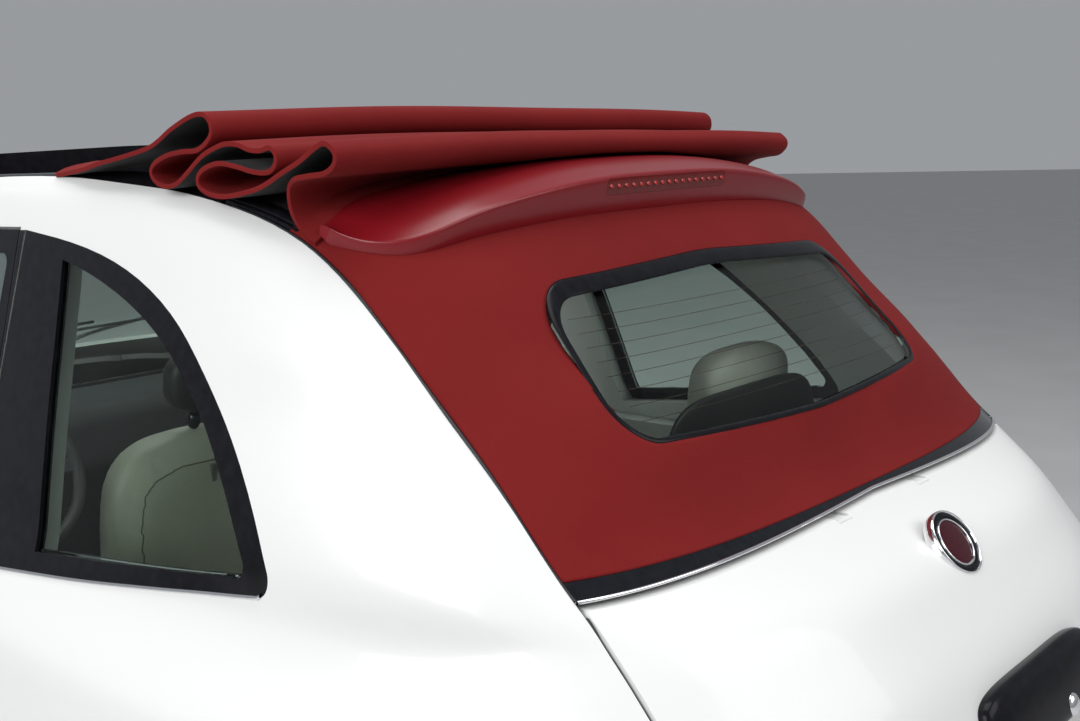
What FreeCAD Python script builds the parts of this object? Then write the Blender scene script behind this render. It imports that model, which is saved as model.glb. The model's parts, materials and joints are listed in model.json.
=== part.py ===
import FreeCAD, Part
import math
import os
from FreeCAD import Vector

os.makedirs("parts", exist_ok=True)

# Driving dimensions, in millimetres. X forward, Y to the left, Z up, ground at Z = 0.
MID_X = -200.0          # where the front and rear halves of every plan section meet
WHEELBASE = 2300.0
FRONT_AXLE_X = 1073.0
REAR_AXLE_X = FRONT_AXLE_X - WHEELBASE
TRACK_F = 1414.0
TRACK_R = 1408.0
TYRE_R = 292.0
TYRE_W = 185.0
RIM_R = 190.5
ARCH_R = 338.0
ROOF_HALF = 540.0       # half width of the roof opening and of the boot lid opening
HEADER_X = 300.0        # rear edge of the header above the windscreen
HEADER_HALF = 466.0     # half width of the header between the pillars
COWL_X = 958.0          # front edge of the cowl under the windscreen
SHUT_GAP = 5.0          # gap round every opening panel
SEAT_GAP = 0.3          # gap between curved faces that meet
WALL_XY = 42.0          # inward offset of the upper liner
WALL_Z = 25.0           # drop of the upper liner
DOOR_T = 110.0          # thickness of the doors and lower walls
BELT_Z = 868.0
DOOR_FRONT_X = 686.0    # front face of the door, ahead of its hinge
DOOR_HINGE = (650.0, 780.0)
DOOR_HINGE_Z = (470.0, 740.0)
LID_HINGE = (-1517.0, 993.7)
BONNET_HINGE = (978.0, 978.0)
DOOR_REAR_X = -330.0
BELT = ((-335.0, 880.0), (686.0, 872.0))    # line between the door panel and its window frame
STUB_R = 26.0
HUB_R = STUB_R + 0.3
GLASS_IN = 5.0
GLASS_T = 4.0
CLOTH_T = 12.0

# Plan sections of the body, from the sill up to the roof rails. Each half is the curve
# |x / length| ** n + |y / half_width| ** m = 1.
# z, x_front, n_front, m_front, x_rear, n_rear, m_rear, half_width
SECTIONS = [
    (180, 1640, 9.0, 3.8, -1640, 9.0, 4.3, 712),
    (250, 1715, 9.0, 3.9, -1712, 9.0, 4.4, 758),
    (350, 1760, 9.0, 4.0, -1758, 8.8, 4.4, 790),
    (480, 1773, 8.8, 3.9, -1773, 8.0, 4.2, 805),
    (600, 1755, 8.2, 3.6, -1768, 6.6, 3.7, 809),
    (700, 1700, 7.4, 3.2, -1752, 5.2, 3.2, 806),
    (770, 1625, 6.9, 2.9, -1736, 4.5, 3.0, 799),
    (830, 1500, 6.5, 2.6, -1712, 4.6, 3.0, 783),
    (880, 1345, 6.2, 2.5, -1680, 4.9, 3.0, 748),
    (920, 1200, 5.6, 2.4, -1648, 5.4, 3.0, 722),
    (960, 1055, 5.0, 2.4, -1600, 6.24, 3.0, 706),
    (1010, 928, 5.0, 2.4, -1500, 10.3, 3.0, 692),
    (1110, 790, 5.0, 2.4, -1425, 9.0, 3.0, 664),
    (1210, 652, 5.0, 2.4, -1330, 9.0, 3.0, 634),
    (1310, 514, 5.0, 2.4, -1238, 9.0, 3.0, 604),
    (1370, 431, 5.0, 2.4, -1180, 8.0, 3.0, 586),
    (1415, 369, 4.5, 2.4, -1115, 6.0, 3.0, 571),
    (1445, 275, 4.0, 2.4, -1010, 4.5, 3.0, 557),
    (1465, 150, 3.5, 2.4, -860, 3.5, 3.0, 542),
    (1473, 80, 3.25, 2.4, -745, 3.25, 3.0, 520),
    (1480, -10, 3.0, 2.4, -600, 3.0, 3.0, 480),
]
SECTION_POINTS = 48


def half_section(x_end, n, width, m, steps=400):
    """Quarter of a plan section from the x axis (y = 0) to the side (x = 0)."""
    pts = []
    for k in range(steps + 1):
        t = 0.5 * math.pi * k / steps
        c = max(math.cos(t), 0.0) ** (2.0 / n)
        s = max(math.sin(t), 0.0) ** (2.0 / m)
        pts.append((x_end * c, width * s))
    return pts


def section_wire(row, offset, drop):
    """Closed smooth curve of one plan section, moved in by offset and down by drop."""
    z, xf, nf, mf, xr, nr, mr, w = row
    front = half_section(xf - MID_X - offset, nf, w - offset, mf)
    rear = half_section(MID_X - xr - offset, nr, w - offset, mr)
    side = front + [(-x, y) for x, y in reversed(rear[:-1])]
    length = [0.0]
    turn = [0.0]
    for i in range(1, len(side)):
        dx = side[i][0] - side[i - 1][0]
        dy = side[i][1] - side[i - 1][1]
        length.append(length[-1] + math.hypot(dx, dy))
        bend = 0.0
        if i > 1:
            ex = side[i - 1][0] - side[i - 2][0]
            ey = side[i - 1][1] - side[i - 2][1]
            bend = abs(math.atan2(ex * dy - ey * dx, ex * dx + ey * dy))
        turn.append(turn[-1] + bend)
    mark = [0.5 * l / length[-1] + 0.5 * t / turn[-1] for l, t in zip(length, turn)]
    half = []
    j = 0
    for k in range(SECTION_POINTS // 2 + 1):
        u = k / (SECTION_POINTS / 2.0)
        while j < len(mark) - 2 and mark[j + 1] < u:
            j += 1
        span = mark[j + 1] - mark[j]
        f = min(max((u - mark[j]) / span, 0.0), 1.0) if span > 0 else 0.0
        x = side[j][0] + f * (side[j + 1][0] - side[j][0])
        y = side[j][1] + f * (side[j + 1][1] - side[j][1])
        half.append((x, y))
    loop = half + [(x, -y) for x, y in reversed(half[1:-1])]
    points = [Vector(MID_X + x, y, z - drop) for x, y in loop]
    curve = Part.BSplineCurve()
    marks = [k / float(SECTION_POINTS) for k in range(SECTION_POINTS + 1)]
    curve.interpolate(Points=points, PeriodicFlag=True, Parameters=marks)
    return Part.Wire([curve.toShape()])


def body_form(offset=0.0, drop=0.0, z_min=0.0, z_max=2000.0):
    """Solid through the plan sections between two heights."""
    rows = [r for r in SECTIONS if z_min <= r[0] <= z_max]
    wires = [section_wire(r, offset, drop) for r in rows]
    return Part.makeLoft(wires, True, False)


def box(x0, x1, y0, y1, z0, z1):
    """Box between two corners."""
    return Part.makeBox(x1 - x0, y1 - y0, z1 - z0, Vector(x0, y0, z0))


def cylinder(r, length, start, direction):
    """Round bar from a start point along a direction."""
    return Part.makeCylinder(r, length, Vector(*start), Vector(*direction))


def rounded_wire(corners):
    """Closed outline through 2-D corners given as (a, b, radius), in the XY plane."""
    n = len(corners)
    nodes = []
    for i in range(n):
        a, b, r = corners[i]
        pa = corners[i - 1]
        pn = corners[(i + 1) % n]
        v1 = Vector(pa[0] - a, pa[1] - b, 0)
        v2 = Vector(pn[0] - a, pn[1] - b, 0)
        v1.normalize()
        v2.normalize()
        p = Vector(a, b, 0)
        if r <= 0:
            nodes.append((p, None, p))
            continue
        half = 0.5 * math.acos(max(-1.0, min(1.0, v1.dot(v2))))
        back = r / math.tan(half)
        mid = v1 + v2
        mid.normalize()
        centre = p + mid * (r / math.sin(half))
        nodes.append((p + v1 * back, centre - mid * r, p + v2 * back))
    edges = []
    for i in range(n):
        start, top, end = nodes[i]
        if top is not None:
            edges.append(Part.Arc(start, top, end).toShape())
        nxt = nodes[(i + 1) % n][0]
        if end.distanceToPoint(nxt) > 1e-6:
            edges.append(Part.makeLine(end, nxt))
    return Part.Wire(edges)


def grow(corners, d):
    """The outline moved outward by d (corners run anticlockwise)."""
    n = len(corners)
    out = []
    for i in range(n):
        a, b, r = corners[i]
        pa = corners[i - 1]
        pn = corners[(i + 1) % n]
        e1 = Vector(a - pa[0], b - pa[1], 0)
        e2 = Vector(pn[0] - a, pn[1] - b, 0)
        e1.normalize()
        e2.normalize()
        n1 = Vector(e1.y, -e1.x, 0)
        n2 = Vector(e2.y, -e2.x, 0)
        m = n1 + n2
        k = d / (1.0 + n1.dot(n2))
        out.append((a + m.x * k, b + m.y * k, max(r + d, 0.0) if r > 0 else 0.0))
    return out


def smooth_edge(points):
    """Smooth curve through 2-D points, in the XY plane."""
    curve = Part.BSplineCurve()
    curve.interpolate([Vector(a, b, 0) for a, b in points])
    return curve.toShape()


def band_outline(top, corner, low, d):
    """Closed outline: smooth top, arc round the corner, smooth foot, all moved out by d."""
    chain = top + [corner] + low
    moved = []
    for i in range(len(chain)):
        p = chain[max(i - 1, 0)]
        q = chain[min(i + 1, len(chain) - 1)]
        way = Vector(q[0] - p[0], q[1] - p[1], 0)
        way.normalize()
        moved.append((chain[i][0] + d * way.y, chain[i][1] - d * way.x))
    a = moved[:len(top)]
    b = moved[len(top) + 1:]
    c = moved[len(top)]
    arc = Part.Arc(Vector(a[-1][0], a[-1][1], 0), Vector(c[0], c[1], 0), Vector(b[0][0], b[0][1], 0))
    line = Part.makeLine(Vector(b[-1][0], b[-1][1], 0), Vector(a[0][0], a[0][1], 0))
    return Part.Wire([smooth_edge(a), arc.toShape(), smooth_edge(b), line])


def wire_prism(wire, y0, y1):
    """Flat outline turned into the X-Z plane and drawn out from y0 to y1."""
    face = Part.Face(wire)
    face.rotate(Vector(0, 0, 0), Vector(1, 0, 0), 90)
    face.translate(Vector(0, y0, 0))
    return face.extrude(Vector(0, y1 - y0, 0))


def side_prism(corners, y0, y1):
    """Outline in the X-Z plane drawn out from y0 to y1."""
    return wire_prism(rounded_wire(corners), y0, y1)


def rear_prism(corners, x0, x1):
    """Outline in the Y-Z plane drawn out from x0 to x1."""
    face = Part.Face(rounded_wire(corners))
    face.rotate(Vector(0, 0, 0), Vector(1, 1, 1), 120)
    face.translate(Vector(x0, 0, 0))
    return face.extrude(Vector(x1 - x0, 0, 0))


def top_prism(corners, z0, z1):
    """Outline in the X-Y plane drawn up from z0 to z1."""
    face = Part.Face(rounded_wire(corners))
    face.translate(Vector(0, 0, z0))
    return face.extrude(Vector(0, 0, z1 - z0))


def mirrored(shape):
    """The same piece on the other side of the car."""
    return shape.mirror(Vector(0, 0, 0), Vector(0, 1, 0))


def export(name, shape):
    """Write one node."""
    solids = shape.Solids
    solids = [s for s in solids if s.Volume > 50.0]
    out = solids[0] if len(solids) == 1 else Part.makeCompound(solids)
    out.exportStep("parts/" + name + ".step")


# Body forms, with a flare turned about each axle line
flare_curve = [(ARCH_R + 4, 803), (ARCH_R + 20, 800), (ARCH_R + 40, 790), (ARCH_R + 58, 771),
               (ARCH_R + 70, 745), (ARCH_R + 76, 712)]
flare_edges = [smooth_edge(flare_curve)]
flare_ends = [(ARCH_R + 76, 712), (ARCH_R + 76, 560), (200, 560), (200, 803), (ARCH_R + 4, 803)]
for i in range(4):
    a, b = flare_ends[i], flare_ends[i + 1]
    flare_edges.append(Part.makeLine(Vector(a[0], a[1], 0), Vector(b[0], b[1], 0)))
flare_face = Part.Face(Part.Wire(flare_edges))
flare = flare_face.revolve(Vector(0, 0, 0), Vector(0, 1, 0), 360)
flares = []
for x in (FRONT_AXLE_X, REAR_AXLE_X):
    ring = flare.copy()
    ring.rotate(Vector(0, 0, 0), Vector(0, 1, 0), 33)
    ring.translate(Vector(x, 0, TYRE_R))
    ring = ring.common(box(x - 500, x + 500, 500, 900, 210, 900))
    flares += [ring, mirrored(ring)]
hull = body_form()
outer = hull
for ring in flares:
    outer = outer.fuse(ring)
outer = outer.Solids[0]
liner_up = body_form(WALL_XY, WALL_Z, 830.0).common(box(-1800, 1300, -900, 900, BELT_Z, 1500))
liner_low = body_form(DOOR_T, 0.0, 180.0, 960.0).common(box(-1800, 1800, -900, 900, 225, BELT_Z))
cloth_in = body_form(CLOTH_T, 8.0, 960.0)
glass_out = body_form(GLASS_IN, 2.0, 830.0)
glass_in = body_form(GLASS_IN + GLASS_T, 2.0 + GLASS_T, 830.0)
glass_shell = glass_out.cut(glass_in)

# Wheel arches
arch_cuts = []
for x, depth in ((FRONT_AXLE_X, 455.0), (REAR_AXLE_X, 545.0)):
    arch_cuts.append(cylinder(ARCH_R, 500, (x, depth, TYRE_R), (0, 1, 0)))
    arch_cuts.append(cylinder(ARCH_R, 500, (x, -depth, TYRE_R), (0, -1, 0)))

shell = outer.cut(liner_up).cut(liner_low).cut(Part.makeCompound(arch_cuts))

# Door, with a rounded nose about its hinge so that the edge turns behind the wing
door_line = [
    (DOOR_REAR_X, 335, 60), (DOOR_FRONT_X, 335, 60), (DOOR_FRONT_X, 985, 40),
    (200, 1378, 60), (DOOR_REAR_X, 1383, 8),
]
nose_r = DOOR_FRONT_X - DOOR_HINGE[0]
door_plan = [
    (-600, 300, 0), (DOOR_FRONT_X, 300, 0), (DOOR_FRONT_X, DOOR_HINGE[1] + nose_r, nose_r),
    (-600, DOOR_HINGE[1] + nose_r, 0),
]
door_window = [
    (-288, 910, 20), (590, 900, 10), (590, 980, 30), (172, 1338, 40), (-288, 1346, 20),
]
belt_slope = (BELT[1][1] - BELT[0][1]) / (BELT[1][0] - BELT[0][0])
above_belt = side_prism([
    (-700, BELT[0][1] + belt_slope * (-700 - BELT[0][0]), 0),
    (900, BELT[0][1] + belt_slope * (900 - BELT[0][0]), 0), (900, 1600, 0), (-700, 1600, 0),
], 300, 900)
door_hole = side_prism(grow(door_line, SHUT_GAP), 300, 900)
door_hole = door_hole.common(top_prism(grow(door_plan, SHUT_GAP), 200, 1500))
hx, hy = DOOR_HINGE
swing_r = math.hypot(hx - DOOR_REAR_X, 31.0)
door_hole = door_hole.common(cylinder(swing_r + SHUT_GAP, 1500, (hx, hy, 0), (0, 0, 1)))
door = shell.common(side_prism(door_line, 300, 900)).cut(side_prism(door_window, 300, 900))
door = door.common(top_prism(door_plan, 200, 1500))
door = door.common(cylinder(swing_r, 1500, (hx, hy, 0), (0, 0, 1)))
door_leaves = []
for hz in DOOR_HINGE_Z:
    slot = cylinder(80, 32, (hx, hy, hz - 16), (0, 0, 1)).common(box(0, 900, 600, hy + 13, 0, 1000))
    pin = cylinder(7, 56, (hx, hy, hz - 28), (0, 0, 1))
    door = door.cut(slot).cut(cylinder(7.3, 57, (hx, hy, hz - 28.5), (0, 0, 1)))
    leaf = pin.fuse([
        cylinder(12, 31.4, (hx, hy, hz - 15.7), (0, 0, 1)),
        box(hx - 8, hx + 8, 722, hy, hz - 12, hz + 12),
        box(hx - 8, DOOR_FRONT_X + SHUT_GAP, 717, 737, hz - 12, hz + 12),
    ])
    door_leaves.append(leaf.removeSplitter())
door_glass = glass_shell.common(side_prism(grow(door_window, -SEAT_GAP), 300, 900))
door_frame = door.common(above_belt)
door = door.cut(above_belt)

# Rear side window: a black band that also covers the pillar, and the glass in it
band_front = DOOR_REAR_X - SHUT_GAP
band_top = [(DOOR_REAR_X, 1384), (-523, 1363), (-700, 1322), (-825, 1263), (-920, 1189),
            (-1000, 1113), (-1056, 1048), (-1084, 1004)]
band_low = [(-1062, 967), (-854, 938), (-672, 914), (-467, 893), (DOOR_REAR_X, BELT[0][1])]
glass_top = [(-300, 1356), (-515, 1334), (-640, 1303), (-720, 1275), (-787, 1243),
             (-854, 1199), (-914, 1149), (-962, 1100), (-1001, 1055), (-1036, 1008)]
glass_low = [(-1018, 984), (-844, 961), (-654, 940), (-440, 917), (-300, 903)]
band_prism = wire_prism(band_outline(band_top, (-1085, 980), band_low, 0), 300, 900)
band_fill = wire_prism(band_outline(band_top, (-1085, 980), band_low, -1.5 * SEAT_GAP), 300, 900)
glass_hole = wire_prism(band_outline(glass_top, (-1038, 991), glass_low, 0), 300, 900)
glass_fill = wire_prism(band_outline(glass_top, (-1038, 991), glass_low, -SEAT_GAP), 300, 900)
glass_zone = side_prism([(-1300, 800, 0), (-561.6, 800, 0), (-453.7, 1450, 0), (-1300, 1450, 0)],
                        300, 900)
pillar_zone = glass_zone.copy()
pillar_zone.translate(Vector(25, 0, 0))
glass_front = glass_zone.copy()
glass_front.translate(Vector(-SEAT_GAP, 0, 0))
quarter_glass = glass_shell.common(glass_fill.common(glass_front))
seal_core = body_form(14.0, 6.0, 830.0)
seal_zone = box(-1300, band_front - SEAT_GAP, 300, 900, 800, 1450)
quarter_seal = hull.cut(seal_core).common(band_fill).common(seal_zone)
quarter_seal = quarter_seal.cut(glass_hole.common(glass_zone))
recess = hull.cut(body_form(14.0 + SEAT_GAP, 6.0 + SEAT_GAP, 830.0)).common(band_prism)
quarter_cut = band_prism.common(pillar_zone).fuse(recess)

# Windscreen
screen_line = [(-550, 1000, 50), (550, 1000, 50), (475, 1392, 40), (-475, 1392, 40)]
screen_cut = rear_prism(screen_line, 200, 1100)
windscreen = glass_shell.common(rear_prism(grow(screen_line, -SEAT_GAP), 200, 1100))
header_zone = box(HEADER_X, COWL_X, -HEADER_HALF + SEAT_GAP, HEADER_HALF - SEAT_GAP, 930, 1500)
windscreen_frame = shell.common(header_zone).cut(screen_cut)

# Bonnet, wings and front bumper
bonnet_line = [(972, -545, 40), (1570, -485, 120), (1570, 485, 120), (972, 545, 40)]
bx, bz = BONNET_HINGE
bonnet_r = math.hypot(1570 - bx, bz - 797)
bonnet_form = hull.cut(body_form(60.0, 30.0, 600.0))
bonnet = bonnet_form.common(top_prism(bonnet_line, 762, 1100))
bonnet = bonnet.common(cylinder(bonnet_r, 1400, (bx, -700, bz), (0, 1, 0)))
bonnet_leaves = []
for by in (-250.0, 250.0):
    bonnet = bonnet.cut(cylinder(5.4, 32, (bx, by - 16, bz), (0, 1, 0)))
    bonnet = bonnet.cut(box(bx - 14, bx + 6, by - 16, by + 16, 920, bz))
    bonnet = bonnet.cut(box(bx - 14, bx - 2, by - 16, by + 16, bz - 1, bz + 5))
    bonnet = bonnet.cut(cylinder(2.8, 57, (bx, by - 28.5, bz), (0, 1, 0)))
    leaf = cylinder(2.5, 56, (bx, by - 28, bz), (0, 1, 0)).fuse([
        cylinder(5, 31.4, (bx, by - 15.7, bz), (0, 1, 0)),
        box(bx - 5, bx + 5, by - 12, by + 12, 956, bz),
        box(COWL_X, bx + 5, by - 12, by + 12, 956, 966),
    ])
    bonnet_leaves.append(leaf.removeSplitter())

bonnet_hole = top_prism(grow(bonnet_line, SHUT_GAP + 1.5), 700, 1100)
bonnet_hole = bonnet_hole.common(cylinder(bonnet_r + SHUT_GAP, 1400, (bx, -700, bz), (0, 1, 0)))
bumper_line = [(1300, 150, 0), (1900, 150, 0), (1900, 690, 0), (1560, 690, 60), (1400, 560, 60)]
nose_line = [(-430, 600, 0), (430, 600, 0), (430, 900, 40), (-430, 900, 40)]
intake_line = [(-400, 292, 45), (400, 292, 45), (370, 398, 45), (-370, 398, 45)]
bumper_zone = side_prism(bumper_line, -900, 900).fuse(rear_prism(nose_line, 1450, 1900))
bumper_hole = side_prism(grow(bumper_line, 3.0), -900, 900)
bumper_hole = bumper_hole.fuse(rear_prism(grow(nose_line, 3.0), 1447, 1900))
bumper_front = shell.common(bumper_zone).cut(bonnet_hole).cut(rear_prism(intake_line, 1500, 1900))
bars = [box(1400, 1900, -400, 400, z, z + 12) for z in (312, 339, 366)]
bars += [box(1400, 1900, y - 6, y + 6, 290, 400) for y in (-300, -150, 0, 150, 300)]
grille = body_form(24.0, 0.0, 180.0, 960.0).cut(body_form(44.0, 0.0, 180.0, 960.0))
grille = grille.common(rear_prism(grow(intake_line, -SEAT_GAP), 1500, 1900))
grille = grille.common(bars[0].fuse(bars[1:]))
lamp_axis = Vector(0.86, 0.22, 0.46)
lamp_start = Vector(1480, 585, 700)
lamp_hole = Part.makeCylinder(99, 400, lamp_start, lamp_axis)
headlamp = shell.common(Part.makeCylinder(96, 400, lamp_start, lamp_axis))
bumper_front = bumper_front.cut(lamp_hole).cut(mirrored(lamp_hole))
wing_zone = box(DOOR_HINGE[0] - 10, 1900, 300, 900, 330, 955)
wing = shell.common(wing_zone).cut(door_hole).cut(bonnet_hole).cut(bumper_hole).cut(lamp_hole)
wing = wing.cut(box(600, 968, -HEADER_HALF, HEADER_HALF, 900, 1100)).cut(screen_cut)

# Rear bumper, boot lid and tail lamps
rear_bumper_zone = box(-1900, -1500, -900, 900, 150, 560)
bumper_rear = shell.common(rear_bumper_zone)
lid_half = ROOF_HALF - SHUT_GAP
lid_line = [(-lid_half, 566, 40), (lid_half, 566, 40), (lid_half, 990, 8), (0, 1003, 0),
            (-lid_half, 990, 8)]
lid_prism = rear_prism(lid_line, -1900, -1350)
boot_lid = shell.common(lid_prism)
lx, lz = LID_HINGE
lid_leaves = []
for ly in (-110.0, 110.0):
    boot_lid = boot_lid.cut(cylinder(5, 32, (lx, ly - 16, lz), (0, 1, 0)))
    boot_lid = boot_lid.cut(box(lx - 5, lx + 77, ly - 16, ly + 16, lz - 4.2, 1010))
    boot_lid = boot_lid.cut(cylinder(2.8, 57, (lx, ly - 28.5, lz), (0, 1, 0)))
    leaf = cylinder(2.5, 56, (lx, ly - 28, lz), (0, 1, 0)).fuse([
        cylinder(4.5, 31.4, (lx, ly - 15.7, lz), (0, 1, 0)),
        box(lx, -1465, ly - 12, ly + 12, lz - 3.8, lz + 4.3),
        box(-1478, -1465, ly - 12, ly + 12, lz - 3.8, 1013),
    ])
    lid_leaves.append(leaf.removeSplitter())
lamp_line = [(566, 690, 40), (690, 690, 40), (686, 868, 50), (566, 868, 40)]
tail_lamp = shell.common(rear_prism(lamp_line, -1900, -1400))
tail_hole = rear_prism(grow(lamp_line, 3.0), -1900, -1400)
plate_line = [(-262, 612, 12), (262, 612, 12), (262, 732, 12), (-262, 732, 12)]
plate_recess = hull.cut(body_form(9.0, 0.0, 180.0, 960.0)).common(rear_prism(plate_line, -1900, -1500))
boot_lid = boot_lid.cut(plate_recess)
handle_line = [(-125, 772, 20), (125, 772, 20), (112, 818, 20), (-112, 818, 20)]
boot_handle = body_form(-15.0, 0.0, 180.0, 960.0).common(rear_prism(handle_line, -1900, -1500))
boot_handle = boot_handle.cut(body_form(-SEAT_GAP, 0.0, 180.0, 960.0))

# Folding roof: fixed rear cover, window, trim strip, folded stack, spoiler
cover_zone = box(-1700, -820, -ROOF_HALF + SEAT_GAP, ROOF_HALF - SEAT_GAP, 1016, 1500)
window_line = [(-372, 1128, 45), (0, 1115, 900), (372, 1128, 45), (352, 1306, 60),
               (0, 1322, 900), (-352, 1306, 60)]
cover = hull.cut(cloth_in).common(cover_zone)
soft_top_rear = cover.cut(rear_prism(window_line, -1700, -1000))
rear_window = glass_shell.common(rear_prism(grow(window_line, -SEAT_GAP), -1700, -1000))
strip_line = [(-ROOF_HALF + SEAT_GAP, 998, 0), (0, 1011, 0), (ROOF_HALF - SEAT_GAP, 998, 0),
              (ROOF_HALF - SEAT_GAP, 1015.7, 0), (-ROOF_HALF + SEAT_GAP, 1015.7, 0)]
strip_prism = rear_prism(strip_line, -1700, -1300)
rear_strip = hull.cut(body_form(20.0, 8.0, 830.0)).common(strip_prism)
rear_deck = body_form(20.0 + SEAT_GAP, 8.0, 830.0).cut(body_form(100.0, 8.0, 830.0)).common(strip_prism)
lid_leaves = [leaf.cut(strip_prism) for leaf in lid_leaves]

fold_profile = [
    (-1109, 1470, 10), (-1030, 1440, 20), (-960, 1400, 10), (-700, 1440, 10), (-692, 1485, 15),
    (-756, 1524, 40), (-820, 1543, 20), (-856, 1540, 12), (-885, 1502, 30), (-985, 1498, 30),
    (-1020, 1490, 30), (-1085, 1500, 12), (-1112, 1488, 8),
]
fold_profile.reverse()
fold_block = side_prism(fold_profile, -565, 565)
above = hull.copy()
above.translate(Vector(0, 0, 0.5))

# Guide rails and wind deflector round the roof opening
guide_rail = box(-819.7, 180, 500, ROOF_HALF - SEAT_GAP, 1395, 1500).common(body_form(2.0, 2.0, 830.0))
guide_rail = guide_rail.cut(body_form(20.0, 20.0, 830.0))
deflector_line = [(-405, 1400, 0), (405, 1400, 0), (400, 1508, 25), (0, 1519, 2500), (-400, 1508, 25)]
deflector_seat = hull.copy()
deflector_seat.translate(Vector(0, 0, SEAT_GAP))
wind_deflector = rear_prism(deflector_line, HEADER_X + 4, HEADER_X + 10).cut(deflector_seat)

# Spoiler: y, lower rear edge, top rear edge, front edge
spoiler_half = [
    (0, -1160, 1387, -1176, 1440, -980, 1463),
    (150, -1160, 1386, -1175, 1437, -980, 1461),
    (300, -1153, 1378, -1166, 1420, -985, 1452),
    (400, -1140, 1365, -1150, 1398, -990, 1440),
    (470, -1115, 1354, -1120, 1376, -1000, 1425),
    (510, -1070, 1366, -1072, 1379, -1010, 1403),
    (528, -1042, 1390, -1042, 1393, -1020, 1397),
]
spoiler_rows = [(-r[0],) + r[1:] for r in reversed(spoiler_half[1:])] + spoiler_half
wires = []
for y, low_x, low_z, top_x, top_z, front_x, front_z in spoiler_rows:
    low = Vector(low_x, y, low_z)
    top = Vector(top_x, y, top_z)
    front = Vector(front_x, y, front_z)
    swell = Vector(0, 0, 0.045 * (front_x - top_x))
    round_by = 0.3 * (top_z - low_z)
    ahead = front - top
    ahead.normalize()
    down = low - top
    down.normalize()
    poles = [
        front + Vector(0, 0, -14), front, front * 0.65 + top * 0.35 + swell,
        front * 0.28 + top * 0.72 + swell, top + ahead * round_by, top, top + down * round_by,
        low, low + Vector(12, 0, -12),
    ]
    curve = Part.BSplineCurve()
    curve.buildFromPoles(poles, False, 3)
    wires.append(Part.Wire([curve.toShape(), Part.makeLine(poles[-1], poles[0])]))
spoiler_form = Part.makeLoft(wires, True, False)
spoiler = spoiler_form.cut(above)
lamp_bar = [(-143, 1411, 6), (143, 1411, 6), (143, 1434, 6), (-143, 1434, 6)]
brake_lamp = spoiler.common(rear_prism(lamp_bar, -1250, -1148))
spoiler = spoiler.cut(rear_prism(grow(lamp_bar, SEAT_GAP), -1250, -1148 + SEAT_GAP))
fold_under = spoiler_form.copy()
fold_under.translate(Vector(0.5, 0, 0.5))
soft_top_folds = fold_block.cut(above).cut(fold_under).cut(spoiler_form)

# Sides: sill, rear quarter, pillars and roof rail in one pressing
side_line = [
    (-1900, ROOF_HALF, 0), (HEADER_X, ROOF_HALF, 0), (HEADER_X, HEADER_HALF, 0),
    (1100, HEADER_HALF, 0), (1100, 900, 0), (-1900, 900, 0),
]
side = shell.common(top_prism(side_line, 150, 1500))
side = side.cut(door_hole).cut(quarter_cut).cut(screen_cut)
side = side.cut(box(DOOR_HINGE[0] - 11, 1900, 300, 900, 330 - SEAT_GAP, 955 + SEAT_GAP))
side = side.cut(box(-1900, -1500, -900, 900, 150, 560 + SEAT_GAP)).cut(tail_hole)
side = side.cut(bumper_hole)

# Floor, bulkhead and wheel housings
liner_seat = body_form(DOOR_T + SEAT_GAP, 0.0, 180.0, 960.0)
boot_profile = [
    (-600, 225.3, 0), (-600, 246, 0), (-720, 246, 0), (-800, 440, 0), (-1690, 440, 0),
    (-1690, 425, 0), (-812, 425, 0), (-732, 225.3, 0),
]
cabin_profile = [
    (715, 225.3, 0), (715, 560, 0), (735, 600, 0), (735, 925, 0), (720, 925, 0), (720, 606, 0),
    (700, 566, 0), (700, 246, 0), (-700, 246, 0), (-700, 225.3, 0),
]
boot_profile.reverse()
cabin_profile.reverse()
floor = side_prism(boot_profile, -536.7, 536.7).fuse(side_prism(cabin_profile, -690, 690))
floor = floor.common(liner_seat).removeSplitter()

shelf = body_form(WALL_XY + SEAT_GAP, WALL_Z + SEAT_GAP, 830.0)
shelf_plan = box(-1335, -1122, -700, 700, 922, 936).fuse(box(-1400, -1300, -300, 300, 922, 936))
parcel_shelf = shelf.common(shelf_plan.removeSplitter())
ball = Vector(FRONT_AXLE_X, 668, 190)
strut_top = Vector(FRONT_AXLE_X, 560, 820)
pin_way = strut_top - ball
pin_way.normalize()
tubs = []
for x, depth, roof in ((FRONT_AXLE_X, 455.0, True), (REAR_AXLE_X, 545.0, False)):
    ring = cylinder(ARCH_R + 8, 689 - depth + 8, (x, depth - 8, TYRE_R), (0, 1, 0))
    if roof:
        ring = ring.fuse(cylinder(78, 252, (x, 562, 560), (0, 0, 1)))
    ring = ring.cut(cylinder(ARCH_R, 700, (x, depth, TYRE_R), (0, 1, 0)))
    if roof:
        ring = ring.cut(cylinder(70, 240, (x, 562, 560), (0, 0, 1)))
        ring = ring.cut(Part.makeCylinder(8.3, 660, ball, pin_way))
    ring = ring.common(box(x - 400, x + 400, 300, 700, 400, 1000))
    tubs.append(ring.common(liner_seat))
wheel_housings = Part.makeCompound(tubs + [mirrored(t) for t in tubs])

# Wheels
tyre_half = [
    (RIM_R + 4, 70), (RIM_R + 10, 84), (RIM_R + 40, 92), (RIM_R + 68, 90), (TYRE_R - 10, 80),
    (TYRE_R - 3, 68), (TYRE_R, 50),
]
tyre_pts = [Vector(0, y, r) for r, y in tyre_half]
tyre_pts += [Vector(0, -y, r) for r, y in reversed(tyre_half)]
tyre_face = Part.Face(Part.Wire([
    Part.makePolygon(tyre_pts + [tyre_pts[0]])
]))
tyre = tyre_face.revolve(Vector(0, 0, 0), Vector(0, 1, 0), 360)

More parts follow.
